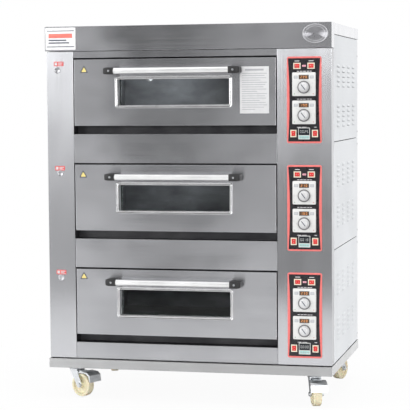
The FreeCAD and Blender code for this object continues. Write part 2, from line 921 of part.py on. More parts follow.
def door_liner(deck):
    """Inner door panel with the bright tunnel that joins the two window panes."""
    name = f"door_{deck}_liner"
    step = dim("liner_step")
    left = dim("door_left") + step
    right = dim("door_left") + dim("door_width") - step
    floor = deck_floor(deck)
    inset = dim("notch_width")
    sheet_front = DOOR_BACK - 2 * SHEET
    panel_high = (right, DOOR_BACK, floor + dim("door_height") - step)
    panel = box(f"{name}_sheet", (left, SHELL_BACK, floor + step), panel_high)
    hollow = box(
        f"{name}_hollow",
        (left + SHEET, SHELL_BACK - 1, floor + step + SHEET),
        (right - SHEET, DOOR_BACK - SHEET, floor + dim("door_height") - step - SHEET),
    )
    pane_room = dim("pane_lap")
    tunnel_front = DOOR_FACE + SHEET + dim("pane")
    tunnel = window_box(f"{name}_tunnel", deck, pane_room + SHEET, tunnel_front, DOOR_BACK)
    blank = fuse(f"{name}_blank", cut(f"{name}_pan", panel, hollow), tunnel)
    tools = [
        window_box(f"{name}_pane_room", deck, pane_room, tunnel_front - 1, sheet_front),
        window_box(f"{name}_sight", deck, 0, sheet_front - 1, DOOR_BACK + 1),
    ]
    for side, near in (("left", left), ("right", right - inset + step)):
        tools.append(
            box(
                f"{name}_notch_{side}",
                (near - 1, SHELL_BACK - 1, floor),
                (near + inset - step + 1, DOOR_BACK + 1, floor + dim("notch_height")),
            )
        )
    node(cut(f"{name}_cut", blank, *tools), f"door_{deck}_liner")


def door_glass(deck):
    """Outer pane behind the door skin and inner pane in the tunnel."""
    name = f"door_{deck}_pane"
    skin_back = DOOR_FACE + SHEET
    sheet_front = DOOR_BACK - 2 * SHEET
    lap = dim("pane_lap")
    outer = window_box(f"{name}_outer", deck, lap, skin_back, skin_back + dim("pane"))
    inner = window_box(f"{name}_inner", deck, lap, sheet_front - dim("pane"), sheet_front)
    node(group(f"{name}_pair", outer, inner), f"door_{deck}_glass")


def door_handle(deck):
    """Steel bar in two moulded end brackets."""
    name = f"door_{deck}_handle"
    height = deck_floor(deck) + dim("bar_height")
    radius = dim("bar_radius")
    axis_y = FRONT - dim("handle_reach") + radius
    left = dim("bar_left")
    right = left + dim("bar_length")
    socket = dim("grip_socket")
    bar = cylinder(
        f"{name}_bar", (left - socket, axis_y, height), radius, dim("bar_length") + 2 * socket, "X"
    )
    pieces = [bar]
    for side, start in (("left", left - dim("grip_end")), ("right", right)):
        block = box(
            f"{name}_block_{side}",
            (start, axis_y, height - radius - SHEET),
            (start + dim("grip_end"), DOOR_FACE, height + radius + SHEET),
        )
        nose = cylinder(
            f"{name}_nose_{side}", (start, axis_y, height), radius + SHEET, dim("grip_end"), "X"
        )
        front_trim = box(
            f"{name}_trim_{side}",
            (start - 1, axis_y - 2 * radius, height - 2 * radius),
            (start + dim("grip_end") + 1, axis_y - radius, height + 2 * radius),
        )
        socket_start = start + dim("grip_end") - socket if side == "left" else start - 1
        socket_room = cylinder(
            f"{name}_socket_{side}", (socket_start, axis_y, height), radius, socket + 1, "X"
        )
        bracket = fuse(f"{name}_bracket_blank_{side}", block, nose)
        pieces.append(cut(f"{name}_bracket_{side}", bracket, front_trim, socket_room))
    node(group(f"{name}_parts", *pieces), f"door_{deck}_handle")


def door_hinges():
    """An ear and its pin at both lower corners of each door, bolted to the front frame."""
    pieces = []
    inset = dim("notch_width")
    for deck in DECKS:
        floor = deck_floor(deck)
        pivot_y = FRONT + dim("pivot_depth")
        pivot_z = floor + dim("pivot_rise")
        half = dim("ear_half")
        for side in ("left", "right"):
            wall = dim("door_left") if side == "left" else dim("door_left") + dim("door_width") - inset
            ear_x = wall + 6
            name = f"hinge_{side}_{deck}"
            arm_high = (ear_x + dim("ear_thick"), RECESS_BACK, pivot_z + half)
            arm = box(f"{name}_arm", (ear_x, pivot_y, pivot_z - half), arm_high)
            eye = cylinder(f"{name}_eye", (ear_x, pivot_y, pivot_z), half, dim("ear_thick"), "X")
            foot = box(
                f"{name}_foot",
                (wall + 1, RECESS_BACK - 4, pivot_z - half),
                (wall + inset - 1, RECESS_BACK, pivot_z + half),
            )
            pin_start = ear_x if side == "left" else wall - 13
            pin_end = wall + inset + 13 if side == "left" else ear_x + dim("ear_thick")
            pin = cylinder(
                f"{name}_pin", (pin_start, pivot_y, pivot_z), dim("pin_radius"), pin_end - pin_start, "X"
            )
            pieces.append(fuse(name, arm, eye, foot, pin))
    node(group("hinge_parts", *pieces), "door_hinges")


# --- Controls ---------------------------------------------------------------------------------


def control_plates():
    """Printed plate in front of the column, one for each deck."""
    pieces = []
    for deck in DECKS:
        body = new_body(f"plate_{deck}")
        bottom = deck_floor(deck) + dim("plate_top") - dim("plate_height")
        outline = sketch(body, f"plate_{deck}_outline", "XZ_Plane", -FACE)
        rectangle(outline, dim("plate_left"), bottom, dim("plate_width"), dim("plate_height"))
        pad(body, outline, dim("plate"))
        holes = sketch(body, f"plate_{deck}_holes", "XZ_Plane", -FACE)
        for kind, (centre_x, centre_z) in control_spots(deck).items():
            width, height = cutout_size(kind)
            centred(holes, centre_x, centre_z, width, height)
        pocket(body, holes, dim("plate") + 1, reverse=True)
        document.recompute()
        pieces.append(body)
    node(group("plate_parts", *pieces), "control_plates")


def instrument(name, centre_x, centre_z, front_size, bezel, body_size, length):
    """A square front bezel with its housing behind the plate."""
    bezel_box = box(
        f"{name}_bezel",
        (centre_x - front_size / 2, PLATE_FACE - bezel, centre_z - front_size / 2),
        (centre_x + front_size / 2, PLATE_FACE, centre_z + front_size / 2),
    )
    housing = box(
        f"{name}_housing",
        (centre_x - body_size / 2, PLATE_FACE, centre_z - body_size / 2),
        (centre_x + body_size / 2, PLATE_FACE + length, centre_z + body_size / 2),
    )
    return fuse(f"{name}_solid", bezel_box, housing)


def instruments():
    """Two dial controllers and one timer on each plate."""
    controllers = []
    timers = []
    for deck in DECKS:
        spots = control_spots(deck)
        for heat in HEATS:
            centre_x, centre_z = spots[heat]
            name = f"{heat}_controller_{deck}"
            solid = instrument(
                name,
                centre_x,
                centre_z,
                dim("controller_size"),
                dim("controller_bezel"),
                dim("controller_body"),
                dim("controller_length"),
            )
            face = PLATE_FACE - dim("controller_bezel")
            bore = cylinder(
                f"{name}_bore",
                (centre_x, face - 1, centre_z + dim("knob_drop")),
                dim("spindle_radius") + dim("running_gap"),
                dim("spindle_length") + 2,
                "Y",
            )
            controllers.append(cut(name, solid, bore))
            dial_knob(f"{heat}_knob_{deck}", centre_x, face, centre_z + dim("knob_drop"))
        centre_x, centre_z = spots["timer"]
        timers.append(
            instrument(
                f"timer_{deck}",
                centre_x,
                centre_z,
                dim("timer_size"),
                dim("timer_bezel"),
                dim("timer_body"),
                dim("timer_length"),
            )
        )
    node(group("controller_parts", *controllers), "temperature_controllers")
    node(group("timer_parts", *timers), "timers")


def dial_knob(label, centre_x, face, centre_z):
    """Turned knob: wide skirt, raised cap and a spindle into the controller."""
    body = new_body(f"{label}_body")
    profile = sketch(body, f"{label}_profile", "XY_Plane")
    gap = dim("knob_float")
    cap = dim("knob_cap_radius")
    polygon(
        profile,
        [
            (0, -(dim("knob_height"))),
            (cap - 2, -(dim("knob_height"))),
            (cap, 2 - dim("knob_height")),
            (cap + 1, -(dim("knob_skirt") + gap)),
            (dim("knob_radius") - 2, -(dim("knob_skirt") + gap)),
            (dim("knob_radius"), -(dim("knob_skirt") + gap - 2)),
            (dim("knob_radius"), -gap),
            (dim("spindle_radius"), -gap),
            (dim("spindle_radius"), dim("spindle_length")),
            (0, dim("spindle_length")),
        ],
    )
    revolve(body, profile)
    place(body, (centre_x, face, centre_z))
    node(body, label)


def rocker_switch(kind, deck, centre_x, centre_z):
    """Returns the switch's fixed bezel, and adds the rocker that tilts in it as a node."""
    name = f"{kind}_switch_{deck}"
    flat = kind in FLAT_ROCKERS
    front = PLATE_FACE - dim("rocker_flange")

    def upright_box(label, along, across, near, far):
        wide, tall = (along, across) if flat else (across, along)
        return box(
            f"{name}_{label}",
            (centre_x - wide / 2, near, centre_z - tall / 2),
            (centre_x + wide / 2, far, centre_z + tall / 2),
        )

    along = dim("rocker_cavity_long")
    across = dim("rocker_cavity_short")
    rim = upright_box("rim", dim("rocker_bezel_long"), dim("rocker_bezel_short"), front, PLATE_FACE)
    cup = upright_box("cup", along + 2 * SHEET, across + 2 * SHEET, PLATE_FACE, front + dim("rocker_cup"))
    room = upright_box("room", along, across, front - 1, front + dim("rocker_cup") - SHEET)
    bezel = cut(f"{name}_bezel", fuse(f"{name}_blank", rim, cup), room)

    pivot_y = front + dim("rocker_pivot")
    width = dim("rocker_width")
    radius = dim("rocker_radius")
    if flat:
        drum = cylinder(f"{name}_drum", (centre_x, pivot_y, centre_z - width / 2), radius, width, "Z")
        tilt_axis = Z
    else:
        drum = cylinder(f"{name}_drum", (centre_x - width / 2, pivot_y, centre_z), radius, width, "X")
        tilt_axis = X
    tools = [
        upright_box("behind", 3 * radius, 3 * radius, pivot_y + dim("rocker_back"), pivot_y + 2 * radius)
    ]
    # The two faces meet in a shallow valley. At rest one of them lies parallel to the plate.
    tilt = dim("rocker_tilt").value
    rest = FreeCAD.Rotation(tilt_axis, tilt)
    valley = FreeCAD.Vector(0, -(dim("rocker_pivot") + dim("rocker_valley")).value, 0)
    reach = 3 * radius.value
    for side in (-1, 1):
        start = 0.0 if side == 1 else -reach
        if flat:
            corner = FreeCAD.Vector(start, -reach, -reach / 2)
        else:
            corner = FreeCAD.Vector(-reach / 2, -reach, start)
        face_turn = FreeCAD.Rotation(tilt_axis, -side * tilt if flat else side * tilt)
        trim = document.addObject("Part::Box", f"{name}_trim_{'low' if side == -1 else 'high'}")
        trim.Length, trim.Width, trim.Height = reach, reach, reach
        offset = rest.multVec(valley + face_turn.multVec(corner))
        trim.Placement = FreeCAD.Placement(offset, rest * face_turn)
        for letter, value, shift in zip("xyz", (centre_x, pivot_y, centre_z), offset):
            bind(trim, f"Placement.Base.{letter}", value + round(shift, 6))
        tools.append(trim)
    node(cut(f"{kind}_rocker_{deck}_body", drum, *tools), f"{kind}_rocker_{deck}")
    return bezel


def rocker_switches():
    bezels = []
    for deck in DECKS:
        spots = control_spots(deck)
        for kind in ROCKERS:
            centre_x, centre_z = spots[kind]
            bezels.append(rocker_switch(kind, deck, centre_x, centre_z))
    node(group("bezel_parts", *bezels), "switch_bezels")


# --- Electrical gear --------------------------------------------------------------------------

GLAND_THREAD = size(16)
GLAND_SPOT = (size(500), WALL_BACK - 2 * SHEET, BASE + 150)


def electrical_gear():
    """Mounting rail with three contactors and a terminal block, and the mains cable gland."""
    pieces = []
    wall = SKIN - SHEET - dim("rail_inset")
    rail_low = BASE + dim("rail_height")
    rail_high = rail_low + dim("rail_width")
    rail_front = FRONT + dim("rail_front")
    rail_end = (wall + dim("rail_thick"), rail_front + dim("rail_length"), rail_high)
    pieces.append(box("din_rail", (wall, rail_front, rail_low), rail_end))
    overhang = (dim("contactor_height") - dim("rail_width")) / 2
    for index in range(3):
        start = rail_front + dim("contactor_first") + dim("contactor_pitch") * index
        low = (wall - dim("contactor_depth"), start, rail_low - overhang)
        high = (wall, start + dim("contactor_width"), rail_high + overhang)
        pieces.append(box(f"contactor_{index + 1}", low, high))
    block = rail_front + dim("block_start")
    margin = dim("block_margin")
    block_low = (wall - dim("block_depth"), block, rail_low - margin)
    block_high = (wall, block + dim("block_length"), rail_high + margin)
    pieces.append(box("terminal_block", block_low, block_high))
    x, _, z = GLAND_SPOT
    thread = cylinder("gland_thread", (x, WALL_BACK - SHEET - 12, z), GLAND_THREAD, 12 + SHEET, "Y")
    nut = cylinder("gland_nut", (x, WALL_BACK - SHEET - 7, z), 22, 7, "Y")
    hexagon = document.addObject("Part::Prism", "gland_hexagon")
    hexagon.Polygon = 6
    bind(hexagon, "Circumradius", size(23))
    bind(hexagon, "Height", size(10))
    place(hexagon, (x, WALL_BACK, z), TURN_TO["Y"])
    dome = cylinder("gland_dome", (x, WALL_BACK + 10, z), 18, 14, "Y")
    blank = fuse("gland_blank", thread, nut, hexagon, dome)
    bore = cylinder("gland_bore", (x, WALL_BACK - SHEET - 13, z), 9, 50, "Y")
    pieces.append(cut("gland", blank, bore))
    node(group("electrical_parts", *pieces), "electrical_gear")


# --- Castors ----------------------------------------------------------------------------------

# Which way each castor trails at rest, in degrees from +X, seen from above.
CASTORS = {
    "front_left": (-1, "front", -25),
    "front_right": (1, "front", -70),
    "rear_left": (-1, "rear", 110),
    "rear_right": (1, "rear", 70),
}
BRAKED = ("front_left", "front_right")


def castor_centre(side, row):
    across = side * dim("castor_x")
    depth = FRONT + dim("castor_y") if row == "front" else BACK - dim("castor_y")
    return across, depth


def castor_plates():
    """Top plate with its bolt heads, bearing race, and headed kingpin of each castor."""
    pieces = []
    half = dim("castor_plate") / 2
    under = BASE - dim("castor_plate_thick")
    race_bottom = under - dim("race_depth")
    head_depth = dim("kingpin_head_depth")
    for label, (side, row, _) in CASTORS.items():
        x, y = castor_centre(side, row)
        plate = box(f"{label}_plate", (x - half, y - half, under), (x + half, y + half, BASE))
        heads = []
        for across in (-1, 1):
            for along in (-1, 1):
                offset_x = across * dim("bolt_pitch") / 2
                offset_y = along * dim("bolt_pitch") / 2
                spot = (x + offset_x, y + offset_y, under - dim("bolt_head_depth"))
                name = f"{label}_bolt_{across + 1}{along + 1}"
                heads.append(cylinder(name, spot, dim("bolt_head_radius"), dim("bolt_head_depth")))
        pieces.append(fuse(f"{label}_mount", plate, *heads))
        race = cylinder(f"{label}_race", (x, y, race_bottom), dim("race_radius"), dim("race_depth"))
        pieces.append(race)
        kingpin_length = dim("bearing_gap") * 2 + dim("crown_thick") + head_depth
        bottom = race_bottom - kingpin_length
        pin = cylinder(f"{label}_kingpin", (x, y, bottom), dim("kingpin_radius"), kingpin_length)
        head = cylinder(f"{label}_kingpin_head", (x, y, bottom), dim("kingpin_head_radius"), head_depth)
        pieces.append(fuse(f"{label}_headed_kingpin", pin, head))
    node(group("castor_plate_parts", *pieces), "castor_plates")


def castor_turn(angle):
    return FreeCAD.Rotation(Z, angle)


def place_castor_piece(piece, label):
    """Castor pieces are drawn trailing along +X about the swivel axis on the floor."""
    side, row, angle = CASTORS[label]
    x, y = castor_centre(side, row)
    return place(piece, (x, y, size(0)), castor_turn(angle))


def castor_fork(label):
    """Crown and two legs pressed from plate, with the axle bolt between them."""
    name = f"fork_{label}"
    under = BASE - dim("castor_plate_thick") - dim("race_depth") - dim("bearing_gap")
    crown_bottom = under - dim("crown_thick")
    half_gap = dim("fork_inner") / 2
    leg = dim("fork_leg")
    half = half_gap + leg
    trail = dim("trail")
    axle_z = dim("wheel_radius")
    crown = cylinder(f"{name}_disc", (0, 0, crown_bottom), half + 4, dim("crown_thick"))
    bridge = box(f"{name}_bridge", (0, -half, crown_bottom), (trail / 2 + 6, half, under))
    hole = cylinder(
        f"{name}_hole", (0, 0, crown_bottom - 1), dim("kingpin_radius") + dim("running_gap"), 10
    )
    legs = []
    for side_name, start in (("left", half_gap), ("right", -half)):
        body = new_body(f"{name}_leg_{side_name}")
        outline = sketch(body, f"{name}_leg_{side_name}_outline", "XZ_Plane", -(start + leg))
        polygon(
            outline,
            [
                (-14, crown_bottom),
                (trail / 2 + 6, crown_bottom),
                (trail + 13, axle_z + 6),
                (trail + 9, axle_z - 10),
                (trail - 7, axle_z - 12),
                (trail - 16, axle_z),
            ],
        )
        pad(body, outline, leg)
        legs.append(body)
    document.recompute()
    bolt_head = cylinder(f"{name}_bolt_head", (trail, half, axle_z), 9, 6, "Y")
    bolt_nut = cylinder(f"{name}_bolt_nut", (trail, -half - 6, axle_z), 9, 6, "Y")
    axle = cylinder(f"{name}_axle", (trail, -half, axle_z), dim("axle_radius"), 2 * half, "Y")
    members = [crown, bridge, *legs, bolt_head, bolt_nut, axle]
    if label in BRAKED:
        pin_start = (dim("pedal_pivot"), -half, dim("pedal_height"))
        members.append(cylinder(f"{name}_pedal_pin", pin_start, dim("pedal_pin"), 2 * half, "Y"))
    whole = fuse(f"{name}_blank", *members)
    fork = cut(f"{name}_solid", whole, hole)
    node(place_castor_piece(group(name, fork), label), f"castor_fork_{label}")


def castor_wheel(label):
    """Turned nylon wheel with a recessed web and a longer hub."""
    body = new_body(f"wheel_{label}")
    profile = sketch(body, f"wheel_{label}_profile", "XY_Plane")
    bore = dim("axle_radius") + dim("running_gap")
    radius = dim("wheel_radius")
    half = dim("wheel_width") / 2
    hub = dim("hub_width") / 2
    web = dim("web_width") / 2
    polygon(
        profile,
        [
            (bore, -hub),
            (dim("hub_radius") - 3, -hub),
            (dim("hub_radius"), -web),
            (dim("rim_radius"), -web),
            (dim("rim_radius") + 2, -half),
            (radius - 4, -half),
            (radius, 4 - half),
            (radius, half - 4),
            (radius - 4, half),
            (dim("rim_radius") + 2, half),
            (dim("rim_radius"), web),
            (dim("hub_radius"), web),
            (dim("hub_radius") - 3, hub),
            (bore, hub),
        ],
    )
    revolve(body, profile)
    side, row, angle = CASTORS[label]
    x, y = castor_centre(side, row)
    trail = dim("trail")
    across = x + trail * math.cos(math.radians(angle))
    along = y + trail * math.sin(math.radians(angle))
    place(body, (across, along, dim("wheel_radius")), castor_turn(angle))
    node(body, f"castor_wheel_{label}")


def brake_pedal(label):
    """Foot lever on a pin between the fork legs, with a wide pressed hood in front of the wheel."""
    name = f"brake_{label}"
    pivot_x = dim("pedal_pivot")
    pivot_z = dim("pedal_height")
    half = dim("wheel_width") / 2
    thick = dim("pedal_thick")
    drop = dim("pedal_drop")
    body = new_body(f"{name}_arm")
    outline = sketch(body, f"{name}_outline", "XZ_Plane", -half)
    polygon(
        outline,
        [
            (pivot_x, pivot_z - 2),
            (pivot_x + 20, pivot_z - 2),
            (pivot_x + 22, pivot_z - 6.5),
            (pivot_x + 34, pivot_z - 7.2),
            (pivot_x + 40, pivot_z - 3),
            (pivot_x + 50, pivot_z - 3),
            (pivot_x + 50, pivot_z + 5),
            (pivot_x, pivot_z + 5),
        ],
    )
    pad(body, outline, 2 * half)
    hood = new_body(f"{name}_hood")
    hood_half = dim("pedal_width") / 2
    hood_outline = sketch(hood, f"{name}_hood_outline", "XZ_Plane", -hood_half)
    polygon(
        hood_outline,
        [
            (pivot_x + 44, pivot_z + 5 - thick),
            (pivot_x + 72, pivot_z - thick),
            (pivot_x + 84, pivot_z - 10 - thick),
            (pivot_x + 92, pivot_z - drop),
            (pivot_x + 92 + thick, pivot_z - drop),
            (pivot_x + 92, pivot_z - 9),
            (pivot_x + 77, pivot_z + 2),
            (pivot_x + 44, pivot_z + 5),
        ],
    )
    pad(hood, hood_outline, 2 * hood_half)
    document.recompute()
    boss = cylinder(f"{name}_boss", (pivot_x, -half, pivot_z), 6.5, 2 * half, "Y")
    bore_radius = dim("pedal_pin") + dim("running_gap")
    bore = cylinder(f"{name}_bore", (pivot_x, -half - 1, pivot_z), bore_radius, 2 * half + 2, "Y")
    lever = cut(f"{name}_lever", fuse(f"{name}_blank", body, hood, boss), bore)
    node(place_castor_piece(group(f"{name}_group", lever), label), f"brake_pedal_{label}")


# --- Assembly ---------------------------------------------------------------------------------

body_frame()
top_cap()
front_panels()
control_column()
side_panels()
back_panel()
baking_chambers()
hearth_plates()
insulation()
heating_elements()
chamber_fittings()
door_seals()
door_hinges()
for deck in DECKS:
    door_shell(deck)
    door_liner(deck)
    door_glass(deck)
    door_handle(deck)
control_plates()
instruments()
rocker_switches()
electrical_gear()
castor_plates()
for label in CASTORS:
    castor_fork(label)
    castor_wheel(label)
for label in BRAKED:
    brake_pedal(label)

document.recompute()
for item in document.Objects:
    if "Invalid" in item.State or "Error" in item.State:
        raise RuntimeError(f"{item.Label} failed to compute: {item.State}")
os.makedirs("parts", exist_ok=True)
for item in nodes:
    shape = item.Shape
    if shape.isNull() or not shape.isValid() or not shape.Solids:
        raise RuntimeError(f"{item.Label} has no valid solid")
    shape.exportStep(f"parts/{item.Label}.step")
print(f"{len(nodes)} nodes written")
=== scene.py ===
import json
import math

import bmesh
import bpy
from mathutils import Matrix, Vector


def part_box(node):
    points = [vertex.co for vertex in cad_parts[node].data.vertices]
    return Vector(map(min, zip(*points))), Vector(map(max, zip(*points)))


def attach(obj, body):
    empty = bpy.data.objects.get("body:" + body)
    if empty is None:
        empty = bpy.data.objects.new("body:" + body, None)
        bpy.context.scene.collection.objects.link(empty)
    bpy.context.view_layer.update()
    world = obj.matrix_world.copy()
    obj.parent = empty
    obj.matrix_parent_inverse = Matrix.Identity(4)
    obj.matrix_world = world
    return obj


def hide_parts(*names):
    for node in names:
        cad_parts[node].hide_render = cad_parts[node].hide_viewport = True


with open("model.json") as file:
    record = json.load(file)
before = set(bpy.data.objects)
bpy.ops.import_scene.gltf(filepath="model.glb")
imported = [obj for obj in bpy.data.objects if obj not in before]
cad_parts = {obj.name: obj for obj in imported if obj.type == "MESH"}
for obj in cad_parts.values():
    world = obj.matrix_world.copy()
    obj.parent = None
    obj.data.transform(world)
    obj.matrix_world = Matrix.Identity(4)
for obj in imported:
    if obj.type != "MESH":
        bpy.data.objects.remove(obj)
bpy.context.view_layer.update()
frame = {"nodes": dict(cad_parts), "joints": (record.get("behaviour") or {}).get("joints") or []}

# Three-deck baking oven on castors. Metres, +Z up, doors facing -Y.
# Sizes written in millimetres are multiplied by MM.
MM = 0.001
DECKS = (1, 2, 3)
HEATS = ("top_heat", "bottom_heat")
ROCKERS = ("light", "power", "alarm", "steam")
CASTORS = ("front_left", "front_right", "rear_left", "rear_right")
JOINTS = {joint["name"]: joint for joint in frame["joints"]}


# --- Node-based materials ---------------------------------------------------------------------


class Nodes:
    """A node tree being built."""

    def add(self, kind, **inputs):
        node = self.tree.nodes.new(kind)
        for socket, value in inputs.items():
            self.feed(node.inputs[socket.replace("_", " ")], value)
        return node

    def feed(self, socket, value):
        if isinstance(value, bpy.types.NodeSocket):
            self.tree.links.new(value, socket)
        else:
            socket.default_value = value

    def span(self, value, low, high, start=0.0, end=1.0):
        ramp = self.add("ShaderNodeMapRange", Value=value)
        for socket, number in zip(("From Min", "From Max", "To Min", "To Max"), (start, end, low, high)):
            ramp.inputs[socket].default_value = number
        return ramp.outputs[0]

    def math(self, operation, a, b):
        node = self.add("ShaderNodeMath")
        node.operation = operation
        self.feed(node.inputs[0], a)
        self.feed(node.inputs[1], b)
        return node.outputs[0]


class Look(Nodes):
    """One material being built: noises feed its colour, roughness and bump."""

    def __init__(self, name, metallic=0.0, **fixed):
        self.material = bpy.data.materials.new(name)
        self.material.use_nodes = True
        self.tree = self.material.node_tree
        self.shader = self.tree.nodes["Principled BSDF"]
        self.shader.inputs["Metallic"].default_value = metallic
        for socket, value in fixed.items():
            self.shader.inputs[socket.replace("_", " ")].default_value = value
        self.place = self.add("ShaderNodeTexCoord").outputs["Object"]
        self.normal = None

    def noise(self, scale, detail=3.0, rough=0.55, offset=(0, 0, 0)):
        """Cloudy noise with a scale along each axis, in cycles per metre."""
        mapping = self.add("ShaderNodeMapping", Vector=self.place, Scale=scale, Location=offset)
        texture = self.add("ShaderNodeTexNoise", Vector=mapping.outputs[0], Scale=1.0, Detail=detail)
        texture.inputs["Roughness"].default_value = rough
        return texture.outputs[0]

    def cells(self, scale, feature="F1"):
        mapping = self.add("ShaderNodeMapping", Vector=self.place, Scale=scale)
        texture = self.add("ShaderNodeTexVoronoi", Vector=mapping.outputs[0], Scale=1.0)
        texture.feature = feature
        return texture

    def mix(self, factor, a, b, blend="MIX"):
        node = self.add("ShaderNodeMix")
        node.data_type = "RGBA"
        node.blend_type = blend
        self.feed(node.inputs[0], factor)
        self.feed(node.inputs[6], a if isinstance(a, bpy.types.NodeSocket) else (*a, 1))
        self.feed(node.inputs[7], b if isinstance(b, bpy.types.NodeSocket) else (*b, 1))
        return node.outputs[2]

    def edges(self, low=0.5, high=0.6):
        """Rises where the surface turns over an outside edge."""
        return self.span(self.add("ShaderNodeNewGeometry").outputs["Pointiness"], 0, 1, low, high)

    def color(self, value):
        self.feed(self.shader.inputs["Base Color"], value)

    def roughness(self, value):
        self.feed(self.shader.inputs["Roughness"], value)

    def bump(self, height, distance, strength=1.0):
        node = self.add("ShaderNodeBump", Height=height, Distance=distance, Strength=strength)
        if self.normal is not None:
            self.feed(node.inputs["Normal"], self.normal)
        self.normal = node.outputs[0]
        self.feed(self.shader.inputs["Normal"], self.normal)


def tones(color, spread):
    """A darker and a lighter shade of a colour."""
    return tuple(c * (1 - spread) for c in color), tuple(min(1, c * (1 + spread)) for c in color)


def brushed_steel(name, color, grain, roughness=0.2, anisotropy=0.92, turn=0.25, waviness=0.42):
    """Brushed sheet: lines along the grain axis, faint bands, and soft hand smudges."""
    look = Look(name, 1.0, Anisotropic=anisotropy, Anisotropic_Rotation=turn)
    tangent = look.add("ShaderNodeTangent")
    tangent.direction_type = "RADIAL"
    tangent.axis = "Z"
    look.feed(look.shader.inputs["Tangent"], tangent.outputs[0])
    fine_scale = [1600.0] * 3
    band_scale = [220.0] * 3
    for axis in grain:
        fine_scale["XYZ".index(axis)] = 7.0
        band_scale["XYZ".index(axis)] = 0.9
    fine = look.noise(fine_scale, 2.0)
    band = look.noise(band_scale, 3.0)
    smudge = look.noise((3.0, 3.0, 3.0), 4.0, 0.6)
    dark, light = tones(color, 0.035)
    streaks = look.math("ADD", look.math("MULTIPLY", fine, 0.5), look.math("MULTIPLY", band, 0.5))
    base = look.mix(look.span(streaks, 0, 1, 0.3, 0.7), dark, light)
    look.color(look.mix(look.span(smudge, 0.0, 0.2, 0.45, 0.75), base, tones(color, 0.15)[0]))
    rough = look.span(streaks, roughness - 0.02, roughness + 0.03, 0.3, 0.7)
    look.roughness(look.math("ADD", rough, look.span(smudge, 0, 0.05, 0.4, 0.7)))
    look.bump(fine, 0.00002, 0.07)
    waves = [4.2] * 3
    waves["XYZ".index(grain[-1])] = 1.6
    look.bump(look.noise(waves, 1.5), 0.02, waviness)
    return look.material


def bright_steel(name, color, roughness=0.18):
    """Polished or drawn steel with fine scratches and faint clouding."""
    look = Look(name, 1.0)
    scratch = look.noise((40, 900, 900), 2.0)
    cloud = look.noise((14, 14, 14), 4.0)
    look.color(look.mix(look.span(cloud, 0, 1, 0.3, 0.7), *tones(color, 0.06)))
    look.roughness(look.math("ADD", look.span(cloud, roughness - 0.04, roughness + 0.06, 0.3, 0.7),
                             look.span(scratch, -0.03, 0.03, 0.35, 0.65)))
    look.bump(scratch, 0.00002, 0.4)
    return look.material


def zinc(name, color):
    """Bright zinc plating: crystal spangle, a bluish cast and dulled patches."""
    look = Look(name, 1.0)
    grain = look.cells((240, 240, 240)).outputs["Color"]
    spangle = look.add("ShaderNodeSeparateColor", Color=grain).outputs[0]
    dull = look.noise((22, 22, 22), 5.0)
    dark, light = tones(color, 0.05)
    base = look.mix(spangle, dark, light)
    look.color(look.mix(look.span(dull, 0, 0.4, 0.5, 0.75), base, (0.48, 0.5, 0.52)))
    look.roughness(look.math("ADD", look.span(spangle, 0.27, 0.32), look.span(dull, 0, 0.12, 0.4, 0.7)))
    look.bump(look.noise((300, 300, 300), 2.0), 0.00005, 0.4)
    return look.material


def heat_steel(name, color, tint, roughness=0.4, metallic=0.9):
    """Oven steel browned by heat in drifting patches."""
    look = Look(name, metallic)
    patch = look.noise((5, 5, 7), 5.0, 0.6)
    speck = look.noise((90, 90, 90), 3.0)
    base = look.mix(look.span(patch, 0, 1, 0.35, 0.65), color, tint)
    look.color(look.mix(look.span(speck, 0, 0.35, 0.55, 0.75), base, tones(color, 0.4)[0]))
    look.roughness(look.span(patch, roughness - 0.08, roughness + 0.12, 0.3, 0.7))
    look.bump(speck, 0.0002, 0.3)
    return look.material


def plastic(name, color, roughness, grain=450.0, spread=0.04, wear=0.15, **fixed):
    """Moulded plastic: fine grain, slight mottling and paler worn edges."""
    look = Look(name, 0.0, **fixed)
    mottle = look.noise((35, 35, 35), 4.0)
    base = look.mix(look.span(mottle, 0, 1, 0.3, 0.7), *tones(color, spread))
    worn = tuple(c + (0.75 - c) * 0.35 for c in color)
    look.color(look.mix(look.math("MULTIPLY", look.edges(), wear), base, worn))
    look.roughness(look.span(mottle, roughness - 0.04, roughness + 0.07, 0.3, 0.7))
    look.bump(look.noise((grain, grain, grain), 2.0), 0.00008, 0.25)
    return look.material


def printed(name, color, roughness=0.4, glow=0.0, flat_metal=0.0):
    """Ink or lacquer film: faint unevenness in tone and a fine orange-peel."""
    look = Look(name, flat_metal)
    shade = look.noise((60, 60, 60), 4.0)
    look.color(look.mix(look.span(shade, 0, 1, 0.3, 0.7), *tones(color, 0.05)))
    look.roughness(look.span(shade, roughness - 0.05, roughness + 0.08, 0.3, 0.7))
    look.bump(look.noise((700, 700, 700), 1.0), 0.00002, 0.3)
    if glow:
        look.shader.inputs["Emission Color"].default_value = (*color, 1)
        look.shader.inputs["Emission Strength"].default_value = glow
    return look.material


def wool(name, color):
    look = Look(name, 0.0)
    fibre = look.noise((260, 60, 260), 6.0, 0.7)
    clump = look.noise((30, 30, 30), 4.0)
    look.color(look.mix(look.math("MULTIPLY", fibre, clump), tones(color, 0.5)[0], tones(color, 0.35)[1]))
    look.roughness(look.span(clump, 0.85, 1.0))
    look.bump(fibre, 0.002, 0.8)
    return look.material


def rope(name, color):
    look = Look(name, 0.0)
    strands = look.cells((420, 420, 420), "DISTANCE_TO_EDGE").outputs["Distance"]
    soil = look.noise((25, 25, 25), 4.0)
    look.color(look.mix(look.span(soil, 0, 1, 0.4, 0.7), color, (0.42, 0.36, 0.27)))
    look.roughness(look.span(soil, 0.75, 0.95))
    look.bump(look.span(strands, 0, 1, 0, 0.3), 0.0008, 0.8)
    return look.material


